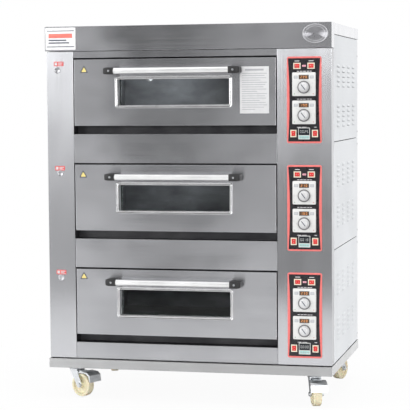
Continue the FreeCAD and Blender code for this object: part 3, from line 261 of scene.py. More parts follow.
def glass(name, color, roughness):
    """Toughened pane with faint greasy wiping marks."""
    look = Look(name, 0.0, Transmission_Weight=1.0, IOR=1.18)
    wipe = look.noise((9, 9, 26), 4.0)
    look.color(look.mix(look.span(wipe, 0, 1, 0.35, 0.7), *tones(color, 0.06)))
    look.roughness(look.span(wipe, roughness, roughness + 0.05, 0.45, 0.75))
    look.bump(look.noise((6, 6, 6), 1.0), 0.0003, 0.08)
    return look.material


MAT = {
    "sheet_wide": brushed_steel("brushed_sheet_grain_across", (0.6, 0.605, 0.63), "X"),
    "sheet_tall": brushed_steel(
        "brushed_sheet_grain_upright", (0.62, 0.625, 0.65), "Z", 0.17, 0.96, 0.0, 0.14
    ),
    "satin": brushed_steel("satin_side_sheet", (0.86, 0.88, 0.905), "Y", 0.36, 0.3, 0.0),
    "frame": brushed_steel("plinth_sheet", (0.66, 0.665, 0.67), "XY", 0.3),
    "chamber": heat_steel("chamber_steel", (0.27, 0.275, 0.28), (0.16, 0.16, 0.165), metallic=0.35),
    # Painted shade: near-black steel for the chambers' recessed front frame and the folded-back flanges,
    # standing in for the shadow there.
    "shade": heat_steel("front_frame_steel", (0.09, 0.09, 0.095), (0.05, 0.05, 0.055), 0.5),
    "hearth": heat_steel("hearth_plate", (0.1, 0.095, 0.09), (0.06, 0.05, 0.045), 0.5),
    "liner": bright_steel("liner_steel", (0.7, 0.7, 0.69), 0.24),
    "wool": wool("mineral_wool", (0.62, 0.55, 0.38)),
    "sheath": heat_steel("element_sheath", (0.16, 0.16, 0.15), (0.24, 0.2, 0.16), 0.42),
    "lamp": glass("frosted_lamp_glass", (0.95, 0.93, 0.86), 0.35),
    "rope": rope("braided_seal", (0.76, 0.73, 0.66)),
    "zinc": zinc("zinc_plating", (0.66, 0.68, 0.7)),
    "gear": plastic("black_fittings", (0.03, 0.03, 0.033), 0.42),
    "cream": plastic("cream_switch_plastic", (0.78, 0.7, 0.56), 0.3),
    "red": plastic("red_rocker_plastic", (0.72, 0.035, 0.03), 0.22, wear=0.05, Subsurface_Weight=0.15),
    "white": plastic("white_instrument_plastic", (0.7, 0.7, 0.69), 0.3),
    "timer": plastic("pale_grey_timer_plastic", (0.6, 0.61, 0.6), 0.36),
    "knob_ring": plastic("dark_grey_knob", (0.12, 0.12, 0.125), 0.4),
    "knob_cap": plastic("silver_knob_cap", (0.68, 0.68, 0.69), 0.3, Metallic=0.25),
    "grip": plastic("black_bracket_plastic", (0.008, 0.008, 0.009), 0.42, wear=0.05),
    "bar": bright_steel("satin_bar", (0.93, 0.93, 0.93), 0.36),
    "bezel": bright_steel("polished_bezel", (0.66, 0.66, 0.67), 0.2),
    "nylon": plastic("cream_nylon", (0.84, 0.76, 0.54), 0.42, 220.0, 0.08, Subsurface_Weight=0.1),
    "spacer": plastic("pane_spacer", (0.86, 0.86, 0.86), 0.4),
    "window": glass("window_glass", (0.9, 0.92, 0.93), 0.0),
    "plate_red": printed("plate_border_print", (0.78, 0.17, 0.16), 0.32),
    "plate_black": printed("plate_field_print", (0.012, 0.011, 0.014), 0.28),
    "ink": printed("pale_print", (0.72, 0.7, 0.72), 0.45),
    "ink_pink": printed("pink_print", (0.86, 0.42, 0.5), 0.4),
    "ink_grey": printed("grey_print", (0.32, 0.33, 0.34), 0.5),
    "button": printed("grey_keys", (0.42, 0.44, 0.46), 0.4),
    "display": printed("display_filter", (0.1, 0.06, 0.035), 0.12),
    "amber": printed("lit_digit", (0.9, 0.36, 0.12), 0.4, glow=0.22),
    "timer_window": printed("timer_filter", (0.015, 0.018, 0.022), 0.12),
    "timer_digit": printed("timer_digit", (0.46, 0.47, 0.47), 0.5),
    "timer_strip": printed("timer_key_strip", (0.3, 0.66, 0.6), 0.35),
    "paper": printed("notice_paper", (0.66, 0.66, 0.67), 0.7),
    "badge": printed("badge_enamel", (0.88, 0.88, 0.89), 0.25),
    "coral": printed("coral_stripe", (0.85, 0.22, 0.18), 0.35),
    "slate": printed("slate_stripe", (0.05, 0.06, 0.09), 0.35),
    "label": printed("pillar_label_print", (0.72, 0.09, 0.09), 0.4),
    "yellow": printed("yellow_film", (0.8, 0.66, 0.24), 0.4),
    "knob_disc": plastic("pale_knob_disc", (0.62, 0.62, 0.63), 0.34, Metallic=0.25),
    # Painted shade: near-black for the screws' cross recesses.
    "recess": plastic("screw_recess", (0.02, 0.02, 0.02), 0.6),
    "zinc_screw": zinc("screw_zinc", (0.5, 0.52, 0.54)),
    "plug": bright_steel("pressed_plug", (0.5, 0.5, 0.52), 0.3),
    "ink_soft": printed("faint_print", (0.4, 0.41, 0.43), 0.6),
    "lamp_green": printed("green_lens", (0.05, 0.3, 0.08), 0.2),
    "lamp_red": printed("red_lens", (0.5, 0.04, 0.03), 0.2),
    "emblem": printed("etched_plate", (0.36, 0.36, 0.38), 0.3, flat_metal=1.0),
    "emblem_rim": printed("emblem_rim", (0.5, 0.5, 0.52), 0.45, flat_metal=0.6),
}


# --- Mesh building ----------------------------------------------------------------------------


def rounded(low, high, radius, steps=5):
    """Outline of a rectangle with round corners, anticlockwise from its lower right corner."""
    outline = []
    corners = (
        (high[0] - radius, low[1] + radius, -90),
        (high[0] - radius, high[1] - radius, 0),
        (low[0] + radius, high[1] - radius, 90),
        (low[0] + radius, low[1] + radius, 180),
    )
    for across, up, start in corners:
        for step in range(steps + 1):
            angle = math.radians(start + 90 * step / steps)
            outline.append((across + radius * math.cos(angle), up + radius * math.sin(angle)))
    return outline


def grown(low, high, amount):
    return (low[0] - amount, low[1] - amount), (high[0] + amount, high[1] + amount)


class Shape:
    """A mesh made of several closed pieces, each with its own material."""

    def __init__(self):
        self.mesh = bmesh.new()
        self.materials = []

    def index(self, key):
        if key not in self.materials:
            self.materials.append(key)
        return self.materials.index(key)

    def loft(self, loops, key, ring=False):
        """Skins loops of points one after another. A ring joins the last to the first."""
        rows = [[self.mesh.verts.new(point) for point in loop] for loop in loops]
        pairs = list(zip(rows, rows[1:]))
        if ring:
            pairs.append((rows[-1], rows[0]))
        faces = []
        for first, second in pairs:
            count = max(len(first), len(second))
            for step in range(count):
                following = (step + 1) % count
                corners = [
                    first[step % len(first)],
                    first[following % len(first)],
                    second[following % len(second)],
                    second[step % len(second)],
                ]
                unique = list(dict.fromkeys(corners))
                if len(unique) > 2:
                    faces.append(self.mesh.faces.new(unique))
        if not ring:
            for row in (rows[0], rows[-1]):
                if len(row) > 2:
                    faces.append(self.mesh.faces.new(row))
        for face in faces:
            face.material_index = self.index(key)
        bmesh.ops.recalc_face_normals(self.mesh, faces=faces)
        return rows

    def slab(self, low, high, front, back, key, corner=0.0005, edge=0.0004, place=None):
        """A block facing -Y with round corners and a softened front edge. low and high are (x, z)."""
        corner = max(corner, edge * 1.05)
        loops = []
        for step in range(4):
            angle = math.pi / 2 * step / 3
            inset = edge * (1 - math.sin(angle))
            outline = rounded(*grown(low, high, -inset), corner - inset * 0.9)
            loops.append([(x, front + edge * (1 - math.cos(angle)), z) for x, z in outline])
        outline = rounded(low, high, corner)
        loops.append([(x, back, z) for x, z in outline])
        self.loft(moved(loops, place), key)

    def tile(self, x, z, wide, tall, front, back, key, corner=0.5, edge=0.02):
        """A slab with its middle at x, z. Its width, height, corner and edge are in millimetres."""
        low = (x - wide * MM / 2, z - tall * MM / 2)
        high = (x + wide * MM / 2, z + tall * MM / 2)
        self.slab(low, high, front, back, key, corner * MM, edge * MM)

    def prism(self, outline, front, back, key, place=None):
        loops = [[(x, depth, z) for x, z in outline] for depth in (front, back)]
        self.loft(moved(loops, place), key)

    def turned(self, profile, centre, axis, key, steps=48, ring=False):
        """Turns a profile of (radius, distance along the axis) about the axis."""
        axis = Vector(axis).normalized()
        side = axis.orthogonal().normalized()
        other = axis.cross(side)
        loops = []
        for radius, along in profile:
            middle = Vector(centre) + axis * along
            if radius == 0:
                loops.append([middle])
                continue
            angles = [2 * math.pi * step / steps for step in range(steps)]
            loops.append([middle + (side * math.cos(a) + other * math.sin(a)) * radius for a in angles])
        self.loft(loops, key, ring)

    def piece(self, name, body, replaces=(), smooth=35):
        """Ends the mesh as a named piece that rides on a body."""
        data = bpy.data.meshes.new(name)
        self.mesh.to_mesh(data)
        self.mesh.free()
        data.shade_smooth()
        data.set_sharp_from_angle(angle=math.radians(smooth))
        for key in self.materials:
            data.materials.append(MAT[key])
        item = bpy.data.objects.new(name, data)
        bpy.context.scene.collection.objects.link(item)
        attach(item, body)
        if replaces:
            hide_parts(*replaces)
        return item


def mm(pairs):
    """Pairs of millimetres in metres."""
    return [(first * MM, second * MM) for first, second in pairs]


def moved(loops, place):
    if place is None:
        return loops
    return [[place @ Vector(point) for point in loop] for loop in loops]


def segments(value):
    """Which of a digit's seven bars are lit, from a at the top, clockwise, to g in the middle."""
    lit = ("abcdef", "bc", "abdeg", "abcdg", "bcfg", "acdfg", "acdefg", "abc", "abcdefg", "abcdfg")
    return lit[value]


def digit(shape, value, x, z, height, front, key):
    """One seven-bar numeral with its lower left corner at x, z."""
    width = height * 0.55
    bar = height * 0.13
    half = height / 2
    spans = {
        "a": ((bar, height - bar), (width - bar, height)),
        "b": ((width - bar, half + bar / 2), (width, height - bar / 2)),
        "c": ((width - bar, bar / 2), (width, half - bar / 2)),
        "d": ((bar, 0), (width - bar, bar)),
        "e": ((0, bar / 2), (bar, half - bar / 2)),
        "f": ((0, half + bar / 2), (bar, height - bar / 2)),
        "g": ((bar, half - bar / 2), (width - bar, half + bar / 2)),
    }
    for name in segments(value):
        (left, bottom), (right, top) = spans[name]
        low = (x + left, z + bottom)
        high = (x + right, z + top)
        shape.slab(low, high, front - 0.15 * MM, front + 0.1 * MM, key, bar * 0.3, 0.05 * MM)


# --- CAD nodes that stay: softened edges and a finish ------------------------------------------


def curved_polygons(data):
    """Polygons that meet a neighbour at a slight angle, and so belong to a rounded surface."""
    spots = [tuple(round(value, 5) for value in vertex.co) for vertex in data.vertices]
    joined = {}
    for polygon in data.polygons:
        corners = [spots[index] for index in polygon.vertices]
        for start, end in zip(corners, corners[1:] + corners[:1]):
            joined.setdefault(frozenset((start, end)), []).append(polygon)
    curved = set()
    for meeting in joined.values():
        if len(meeting) == 2 and 2 < math.degrees(meeting[0].normal.angle(meeting[1].normal, 0.0)) < 40:
            curved.update(polygon.index for polygon in meeting)
    return curved


def finish_node(name, key, edge=0.8, segments_count=2):
    """Gives a CAD node its material and rounds its sharp edges by a few tenths of a millimetre."""
    item = frame["nodes"][name]
    item.data.materials.clear()
    item.data.materials.append(MAT[key])
    curved = curved_polygons(item.data)
    for polygon in item.data.polygons:
        polygon.use_smooth = polygon.index in curved
    weld = item.modifiers.new("weld", "WELD")
    weld.merge_threshold = 0.00001
    bevel = item.modifiers.new("edge", "BEVEL")
    bevel.width = edge * MM
    bevel.segments = segments_count
    bevel.limit_method = "ANGLE"
    bevel.angle_limit = math.radians(40)
    bevel.harden_normals = True


NODE_FINISHES = {
    "body_frame": ("frame", 1.2),
    "top_cap": ("sheet_wide", 1.2),
    "front_panels": ("sheet_wide", 1.2),
    "control_column": ("sheet_tall", 1.2),
    "side_panels": ("satin", 0.9),
    "back_panel": ("satin", 0.5),
    "baking_chambers": ("chamber", 0.5),
    "hearth_plates": ("hearth", 1.0),
    "insulation": ("wool", 3.0),
    "heating_elements": ("sheath", 0.4),
    "oven_lamps": ("lamp", 0.6),
    "temperature_probes": ("zinc", 0.4),
    "door_seals": ("rope", 1.5),
    "door_hinges": ("zinc", 0.6),
    "switch_bezels": ("cream", 0.5),
    "electrical_gear": ("gear", 0.8),
    "castor_plates": ("zinc", 0.6),
}
for node_name, (finish, edge_size) in NODE_FINISHES.items():
    finish_node(node_name, finish, edge_size)
for deck in DECKS:
    finish_node(f"door_{deck}_shell", "sheet_wide", 1.6, 3)
    finish_node(f"door_{deck}_liner", "liner", 0.8)
    finish_node(f"door_{deck}_glass", "window", 0.4)
    for kind in ROCKERS:
        finish_node(f"{kind}_rocker_{deck}", "red", 0.35)
for label in CASTORS:
    finish_node(f"castor_fork_{label}", "zinc", 0.8)
for label in CASTORS[:2]:
    finish_node(f"brake_pedal_{label}", "zinc", 1.2)

# Painted shade: the chambers' front frame, in the recess under each door, is given a near-black steel, darker
# than the walls behind it.
FRAME_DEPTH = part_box("baking_chambers")[0].y + 3 * MM
chambers = frame["nodes"]["baking_chambers"].data
chambers.materials.append(MAT["shade"])
for polygon in chambers.polygons:
    if polygon.center.y < FRAME_DEPTH:
        polygon.material_index = 1

# The upright pillar's sheet is brushed along its length, unlike the wide front panels.
# The flanges folded back behind them, apart from the outermost ones, are given the near-black steel as
# painted shade, since they are out of the light.
PILLAR_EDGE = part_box("door_1_shell")[0].x - 4 * MM
panels = frame["nodes"]["front_panels"].data
panels.materials.append(MAT["sheet_tall"])
for polygon in panels.polygons:
    if polygon.center.x < PILLAR_EDGE:
        polygon.material_index = 1
for node_name in ("front_panels", "control_column"):
    data = frame["nodes"][node_name].data
    data.materials.append(MAT["shade"])
    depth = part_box(node_name)[0].y + 3 * MM
    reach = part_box("control_column")[1].x - 4 * MM
    for polygon in data.polygons:
        if polygon.center.y > depth and abs(polygon.center.x) < reach:
            polygon.material_index = len(data.materials) - 1


# --- Doors ------------------------------------------------------------------------------------

BEZEL_PROUD = 3 * MM
GLASS_LAP = 8 * MM
BAR_RADIUS = 12.5 * MM
BRACKET_LENGTH = 46 * MM
BRACKET_HALF = 14.5 * MM
BAR_SOCKET = 14 * MM


def door_face(deck):
    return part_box(f"door_{deck}_shell")[0].y + BEZEL_PROUD


def window_bezel(deck):
    """Rolled bright frame round the window. Each step is (growth from the opening, proud of the door)."""
    section = (
        (-0.5, -1.5), (-0.5, 2.6), (0.0, 3.2), (0.8, 3.7), (2.2, 4.0), (3.4, 3.7), (4.2, 3.3),
        (7.2, 3.3), (8.2, 3.7), (9.4, 4.2), (10.6, 4.1), (11.5, 3.4), (12.0, 2.2), (12.0, -0.1),
    )
    low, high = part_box(f"door_{deck}_glass")
    low = (low.x + GLASS_LAP, low.z + GLASS_LAP)
    high = (high.x - GLASS_LAP, high.z - GLASS_LAP)
    face = door_face(deck)
    loops = []
    for growth, proud in section:
        outline = rounded(*grown(low, high, growth * MM), (3.5 + growth * 0.7) * MM, 6)
        loops.append([(x, face - proud * MM, z) for x, z in outline])
    shape = Shape()
    shape.loft(loops, "bezel", ring=True)
    shape.piece(f"door_{deck}_bezel", f"door_{deck}")


def window_spacer(deck):
    """Pale spacer between the two panes, seen as a bright reveal inside the window."""
    low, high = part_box(f"door_{deck}_glass")
    reach = GLASS_LAP - 1.2 * MM
    outer = rounded(*grown((low.x, low.z), (high.x, high.z), -1.2 * MM), 4 * MM)
    inner = rounded(*grown((low.x, low.z), (high.x, high.z), -reach), 3 * MM)
    loops = []
    for outline, depth in ((outer, 8), (inner, 8), (inner, 38), (outer, 38)):
        loops.append([(x, door_face(deck) + depth * MM, z) for x, z in outline])
    shape = Shape()
    shape.loft(loops, "spacer", ring=True)
    shape.piece(f"door_{deck}_spacer", f"door_{deck}")


def bracket(shape, inner, outer, face, nose, height):
    """Moulded handle end, full size where the bar enters and tapering to a rounded outer end."""
    way = 1 if outer > inner else -1
    length = abs(outer - inner)
    stations = (
        (0, 1.2), (0.5, 0.35), (1.4, 0), (length / MM - 17, 0), (length / MM - 9, 1.4),
        (length / MM - 4, 3.4), (length / MM - 1.4, 5.2), (length / MM - 0.3, 6.8), (length / MM, 8.2),
    )
    loops = []
    for along, inset in stations:
        low = (nose + inset * 1.3 * MM, height - BRACKET_HALF + inset * 0.5 * MM)
        high = (face + 1 * MM, height + BRACKET_HALF - inset * 0.5 * MM)
        outline = rounded(low, high, 4.5 * MM, 5)
        loops.append([(inner + way * along * MM, y, z) for y, z in outline])
    shape.loft(loops, "grip")


def cross_screw(shape, x, z, front, radius, key="zinc_screw"):
    """Pan-head screw facing -Y with a near-black cross laid on its head, painted shade in place of a cut
    cross recess.
    """
    head = ((0, -0.4), (radius, -0.4), (radius, 0.2), (radius * 0.92, 0.6), (radius * 0.6, 0.95), (0, 1.05))
    profile = [(r, along * MM) for r, along in head]
    shape.turned(profile, (x, front, z), (0, -1, 0), key, 24)
    arm = radius * 0.55
    thin = radius * 0.14
    for wide, tall in ((arm, thin), (thin, arm)):
        # Painted shade: a near-black cross laid on the head where a real recess would be in shadow.
        shape.slab((x - wide, z - tall), (x + wide, z + tall), front - 1.15 * MM, front - 0.8 * MM, "recess",
                   thin * 0.5, 0.05 * MM)


def handle(deck):
    low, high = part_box(f"door_{deck}_handle")
    height = (low.z + high.z) / 2
    face = door_face(deck)
    nose = low.y - 0.5 * MM
    start = low.x + BRACKET_LENGTH - BAR_SOCKET
    length = high.x - low.x - 2 * (BRACKET_LENGTH - BAR_SOCKET)
    bar = Shape()
    profile = (
        (0, 0), (BAR_RADIUS - 1.2 * MM, 0), (BAR_RADIUS, 1.2 * MM),
        (BAR_RADIUS, length - 1.2 * MM), (BAR_RADIUS - 1.2 * MM, length), (0, length),
    )
    bar.turned(profile, (start, low.y + BAR_RADIUS, height), (1, 0, 0), "bar", 64)
    bar.piece(f"door_{deck}_bar", f"door_{deck}", [f"door_{deck}_handle"])
    ends = Shape()
    bracket(ends, low.x + BRACKET_LENGTH, low.x, face, nose, height)
    bracket(ends, high.x - BRACKET_LENGTH, high.x, face, nose, height)
    for x in (low.x + 26 * MM, high.x - 26 * MM):
        cross_screw(ends, x, height, nose + 0.3 * MM, 4.2 * MM)
    ends.piece(f"door_{deck}_brackets", f"door_{deck}", [f"door_{deck}_handle"])


# Where each deck's warning sticker sits: its middle, across and above the door's lower edge.
STICKER_SPOTS = {1: (-441, 232.7), 2: (-449.5, 234.5), 3: (-451.7, 245.4)}


def door_sticker(deck):
    """Yellow triangle with a dark outline, left plain."""
    x, z = (value * MM for value in STICKER_SPOTS[deck])
    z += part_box(f"door_{deck}_shell")[0].z
    face = door_face(deck)
    shape = Shape()
    for reach, front, key in ((19.5, 0.15, "slate"), (13, 0.22, "yellow")):
        outline = []
        for corner in range(3):
            middle = math.radians(90 + 120 * corner)
            tip = (x + (reach - 3) * MM * math.cos(middle), z + (reach - 3) * MM * math.sin(middle))
            for step in range(-2, 3):
                angle = middle + math.radians(30 * step)
                outline.append((tip[0] + 2 * MM * math.cos(angle), tip[1] + 2 * MM * math.sin(angle)))
        shape.prism(outline, face - front * MM, face + 0.1 * MM, key)
    shape.piece(f"door_{deck}_sticker", f"door_{deck}")


def door_notice():
    """Paper notice on the top door with faint grey bars in place of text."""
    face = door_face(1)
    low = (228 * MM, 1212 * MM)
    high = (350 * MM, 1404 * MM)
    shape = Shape()
    shape.slab(low, high, face - 0.2 * MM, face + 0.1 * MM, "paper", 1.5 * MM, 0.08 * MM)
    line_front = face - 0.26 * MM
    heading = (low[0] + 22 * MM, high[1] - 17 * MM), (high[0] - 22 * MM, high[1] - 10 * MM)
    shape.slab(*heading, line_front, face, "ink_soft", 0.5 * MM, 0.02 * MM)
    shortest = (0, 9, 3, 26, 0, 6, 14, 2, 40, 0, 8, 4, 30, 5, 0, 12, 50)
    for row, gap in enumerate(shortest):
        top = high[1] - (27 + row * 9.2) * MM
        left = (low[0] + 9 * MM, top - 2.6 * MM)
        right = (high[0] - (9 + gap) * MM, top)
        shape.slab(left, right, line_front, face, "ink_soft", 0.4 * MM, 0.02 * MM)
    shape.piece("door_1_notice", "door_1")


for deck in DECKS:
    window_bezel(deck)
    window_spacer(deck)
    handle(deck)
    door_sticker(deck)
door_notice()


# --- Control plates and instruments -------------------------------------------------------------

PLATE_LOW, PLATE_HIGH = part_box("control_plates")
PLATE_FRONT = PLATE_LOW.y
PLATE_MIDDLE = (PLATE_LOW.x + PLATE_HIGH.x) / 2
PLATE_WIDTH = PLATE_HIGH.x - PLATE_LOW.x
PLATE_HEIGHT = 352 * MM
TOP_DIAL_DROP = 124.5 * MM
DIAL_DROP = 12 * MM
TIMER_DROP = 312.5 * MM
INK_THICK = 0.12 * MM


def plate_top(deck):
    return JOINTS[f"top_heat_knob_{deck}_turn"]["pos_m"][2] + TOP_DIAL_DROP


def control_plate(deck):
    """Lacquered plate: red border with waisted sides round a black field, and lines for captions."""
    top = plate_top(deck)
    low = (PLATE_LOW.x, top - PLATE_HEIGHT)
    high = (PLATE_HIGH.x, top)
    shape = Shape()
    shape.slab(low, high, PLATE_FRONT, PLATE_HIGH.y, "plate_red", 8 * MM, 0.7 * MM)
    middle = top - PLATE_HEIGHT / 2
    reach = PLATE_HEIGHT / 2 - 7 * MM
    outline = []
    for side in (1, -1):
        for step in range(25):
            height = side * (-1 + 2 * step / 24)
            bulge = (5 + 6 * (1 - height * height)) * MM
            outline.append((PLATE_MIDDLE + side * (PLATE_WIDTH / 2 - bulge), middle + height * reach))
    field = PLATE_FRONT - INK_THICK
    shape.prism(outline, field, PLATE_FRONT + 0.1 * MM, "plate_black")

    def caption(x, drop, wide, tall, key="ink"):
        front = field - INK_THICK
        back = field + 0.05 * MM
        shape.tile(PLATE_MIDDLE + x * MM, top - drop * MM, wide, tall, front, back, key, tall * 0.2)

    for x in (-29, 29):
        caption(x, 18, 20, 2.6)
    for drop in (60, 173):
        for x, wide in ((-25, 9), (-12, 11), (2, 12), (16, 9), (27, 8)):
            caption(x, drop, wide, 2.6)
    caption(-22, 287, 16, 2.4)
    caption(0, 287, 20, 2.4)
    caption(46, 287, 10, 2.4)
    caption(0, 38, 15, 7, "ink_pink")
    caption(0, 38, 9, 1.4, "plate_black")
    shape.piece(f"control_plate_{deck}", "oven", ["control_plates"])


def ticks(shape, centre_x, centre_z, front, key):
    """Scale marks round a dial, every fifth one longer, from -135 to +135 degrees."""
    for mark in range(31):
        angle = math.radians(135 - 9 * mark)
        long_mark = mark % 5 == 0
        turn = Matrix.Translation((centre_x, 0, centre_z)) @ Matrix.Rotation(-angle, 4, "Y")
        half = (0.45 if long_mark else 0.25) * MM
        low = (-half, 28.2 * MM)
        high = (half, (32.8 if long_mark else 30.8) * MM)
        shape.slab(low, high, front - INK_THICK, front + 0.1 * MM, key, 0.1 * MM, 0.02 * MM, turn)


def controller(heat, deck, digits):
    """White dial controller with an amber three-digit display over its scale."""
    x, face, dial_z = JOINTS[f"{heat}_knob_{deck}_turn"]["pos_m"]
    z = dial_z + DIAL_DROP
    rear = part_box("temperature_controllers")[1].y
    window = z + 29 * MM
    shape = Shape()
    shape.tile(x, z, 96, 96, face, PLATE_FRONT + 0.3 * MM, "white", 4, 2)
    shape.tile(x, z, 90, 90, PLATE_FRONT, rear, "gear", 2, 0.5)
    shape.tile(x, window, 42, 18, face - 0.35 * MM, face + 1 * MM, "knob_ring", 1.6, 0.3)
    shape.tile(x, window, 38, 14.6, face - 0.5 * MM, face, "display", 0.6, 0.1)
    for place, value in enumerate(digits):
        digit(shape, value, x + (-13 + 10 * place) * MM, window - 5 * MM, 10 * MM, face - 0.5 * MM, "amber")
    for side in (-1, 1):
        middle = x + side * 33 * MM
        shape.tile(middle, window, 16, 12, face - 0.3 * MM, face + 0.2 * MM, "button", 1, 0.2)
        for row in (-2.6, 0.4, 3.0):
            shape.tile(middle, window + row * MM, 11, 1, face - 0.36 * MM, face, "ink", 0.2)
    ticks(shape, x, dial_z, face, "ink_grey")
    for side, key in ((-1, "lamp_green"), (1, "lamp_red")):
        lens = mm(((0, -0.3), (1.7, -0.3), (1.7, 0.3), (1.2, 0.8), (0, 1.0)))
        shape.turned(lens, (x + side * 39 * MM, face, z - 39 * MM), (0, -1, 0), key, 20)
    shape.piece(f"{heat}_controller_{deck}", "oven", ["temperature_controllers"])


def dial(heat, deck):
    """Dial knob: dark skirt, silver disc, drawn silver cap. A dark line across the cap's top is painted shade
    of a grip bar that is not modelled; a short dark pointer mark sits on the disc.
    """
    name = f"{heat}_knob_{deck}"
    centre = JOINTS[f"{name}_turn"]["pos_m"]
    x, face, z = centre
    parts = {
        "knob_ring": (
            (0, 0.3), (25.0, 0.3), (25.8, 0.8), (26, 1.4), (26, 2.6), (25.3, 3.6), (22.6, 4.6), (0, 4.7),
        ),
        "knob_disc": ((0, 4.2), (21.2, 4.2), (21.4, 4.5), (21.2, 5.0), (18.2, 5.3), (0, 5.3)),
        "knob_cap": (
            (0, 5.0), (17.6, 5.0), (17.2, 6.4), (16.5, 15.2), (15.9, 16.8), (14.6, 17.7), (12.8, 18),
            (0, 17.6),
        ),
    }
    shape = Shape()
    for key, steps in parts.items():
        shape.turned(mm(steps), centre, (0, -1, 0), key, 64)
    marks_turn = Matrix.Translation((x, 0, z)) @ Matrix.Rotation(math.radians(-38), 4, "Y")
    # Painted shade: the long dark line across the cap stands in for a grip bar's shade; the short one is the
    # pointer mark.
    shape.slab((-1.6 * MM, -13.4 * MM), (1.6 * MM, 14.2 * MM), face - 18.12 * MM, face - 17 * MM, "slate",
               1.2 * MM, 0.05 * MM, marks_turn)
    shape.slab((-0.7 * MM, 18.4 * MM), (0.7 * MM, 21 * MM), face - 5.25 * MM, face - 4.5 * MM, "slate",
               0.4 * MM, 0.05 * MM, marks_turn)
    shape.piece(f"{heat}_dial_{deck}", name, [name])


def timer(deck, digits):
    """Square bake timer: digits behind a dark window over a strip of soft keys."""
    x = PLATE_MIDDLE
    z = plate_top(deck) - TIMER_DROP
    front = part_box("timers")[0].y
    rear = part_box("timers")[1].y
    window = z + 7.5 * MM
    strip = z - 15 * MM
    shape = Shape()
    shape.tile(x, z, 48, 48, front, PLATE_FRONT + 0.3 * MM, "timer", 2, 1)
    shape.tile(x, z, 44, 44, PLATE_FRONT, rear, "gear", 1.5, 0.4)
    shape.tile(x, window, 44, 28, front - 0.3 * MM, front + 0.2 * MM, "timer_window", 1.2, 0.2)
    for place, value in enumerate(digits):
        left = x + (-16.4 + 9.0 * place) * MM
        digit(shape, value, left, window - 5.5 * MM, 11 * MM, front - 0.3 * MM, "timer_digit")
    shape.tile(x, strip, 40, 10, front - 0.25 * MM, front + 0.2 * MM, "timer_strip", 0.8, 0.15)
    for key in range(4):
        middle = x + (-14.1 + 9.4 * key) * MM
        shape.tile(middle, strip, 6.8, 6, front - 0.75 * MM, front, "button", 1, 0.3)
    shape.piece(f"timer_{deck}", "oven", ["timers"])


def rocker_marks(kind, deck):
    """A line on one half of the rocker and a ring on the other, lying on its two faces."""
    name = f"{kind}_rocker_{deck}"
    data = frame["nodes"][name].data
    faces = {}
    for polygon in data.polygons:
        if polygon.normal.y < -0.85:
            direction = tuple(round(value, 2) for value in polygon.normal)
            total, weighted = faces.get(direction, (0.0, Vector()))
            faces[direction] = (total + polygon.area, weighted + polygon.center * polygon.area)
    largest = sorted(faces.items(), key=lambda entry: -entry[1][0])[:2]
    shape = Shape()
    for order, (direction, (total, weighted)) in enumerate(sorted(largest)):
        normal = Vector(direction).normalized()
        turn = Vector((0, -1, 0)).rotation_difference(normal).to_matrix().to_4x4()
        place = Matrix.Translation(weighted / total + normal * 0.02 * MM) @ turn
        if order == 0:
            shape.slab((-0.35 * MM, -1.5 * MM), (0.35 * MM, 1.5 * MM), -0.08 * MM, 0.1 * MM, "ink", 0.2 * MM,
                       0.02 * MM, place)
            continue
        loops = []
        for radius, depth in ((0.9, 0.1), (0.9, -0.08), (1.4, -0.08), (1.4, 0.1)):
            angles = [2 * math.pi * step / 24 for step in range(24)]
            loops.append([(math.cos(a) * radius * MM, depth * MM, math.sin(a) * radius * MM) for a in angles])
        shape.loft(moved(loops, place), "ink", ring=True)
    shape.piece(f"{kind}_marks_{deck}", name)


SHOWN = {
    ("top_heat", 1): (2, 2, 0), ("bottom_heat", 1): (1, 9, 0),
    ("top_heat", 2): (2, 1, 0), ("bottom_heat", 2): (1, 8, 0),
    ("top_heat", 3): (2, 3, 0), ("bottom_heat", 3): (2, 0, 0),
}
TIMES = {1: (0, 0, 2, 5), 2: (0, 0, 1, 8), 3: (0, 0, 3, 0)}
for deck in DECKS:
    control_plate(deck)
    for heat in HEATS:
        controller(heat, deck, SHOWN[heat, deck])
        dial(heat, deck)
    timer(deck, TIMES[deck])
    for kind in ROCKERS:
        rocker_marks(kind, deck)


# --- Plates, labels and plugs on the sheet metal ------------------------------------------------


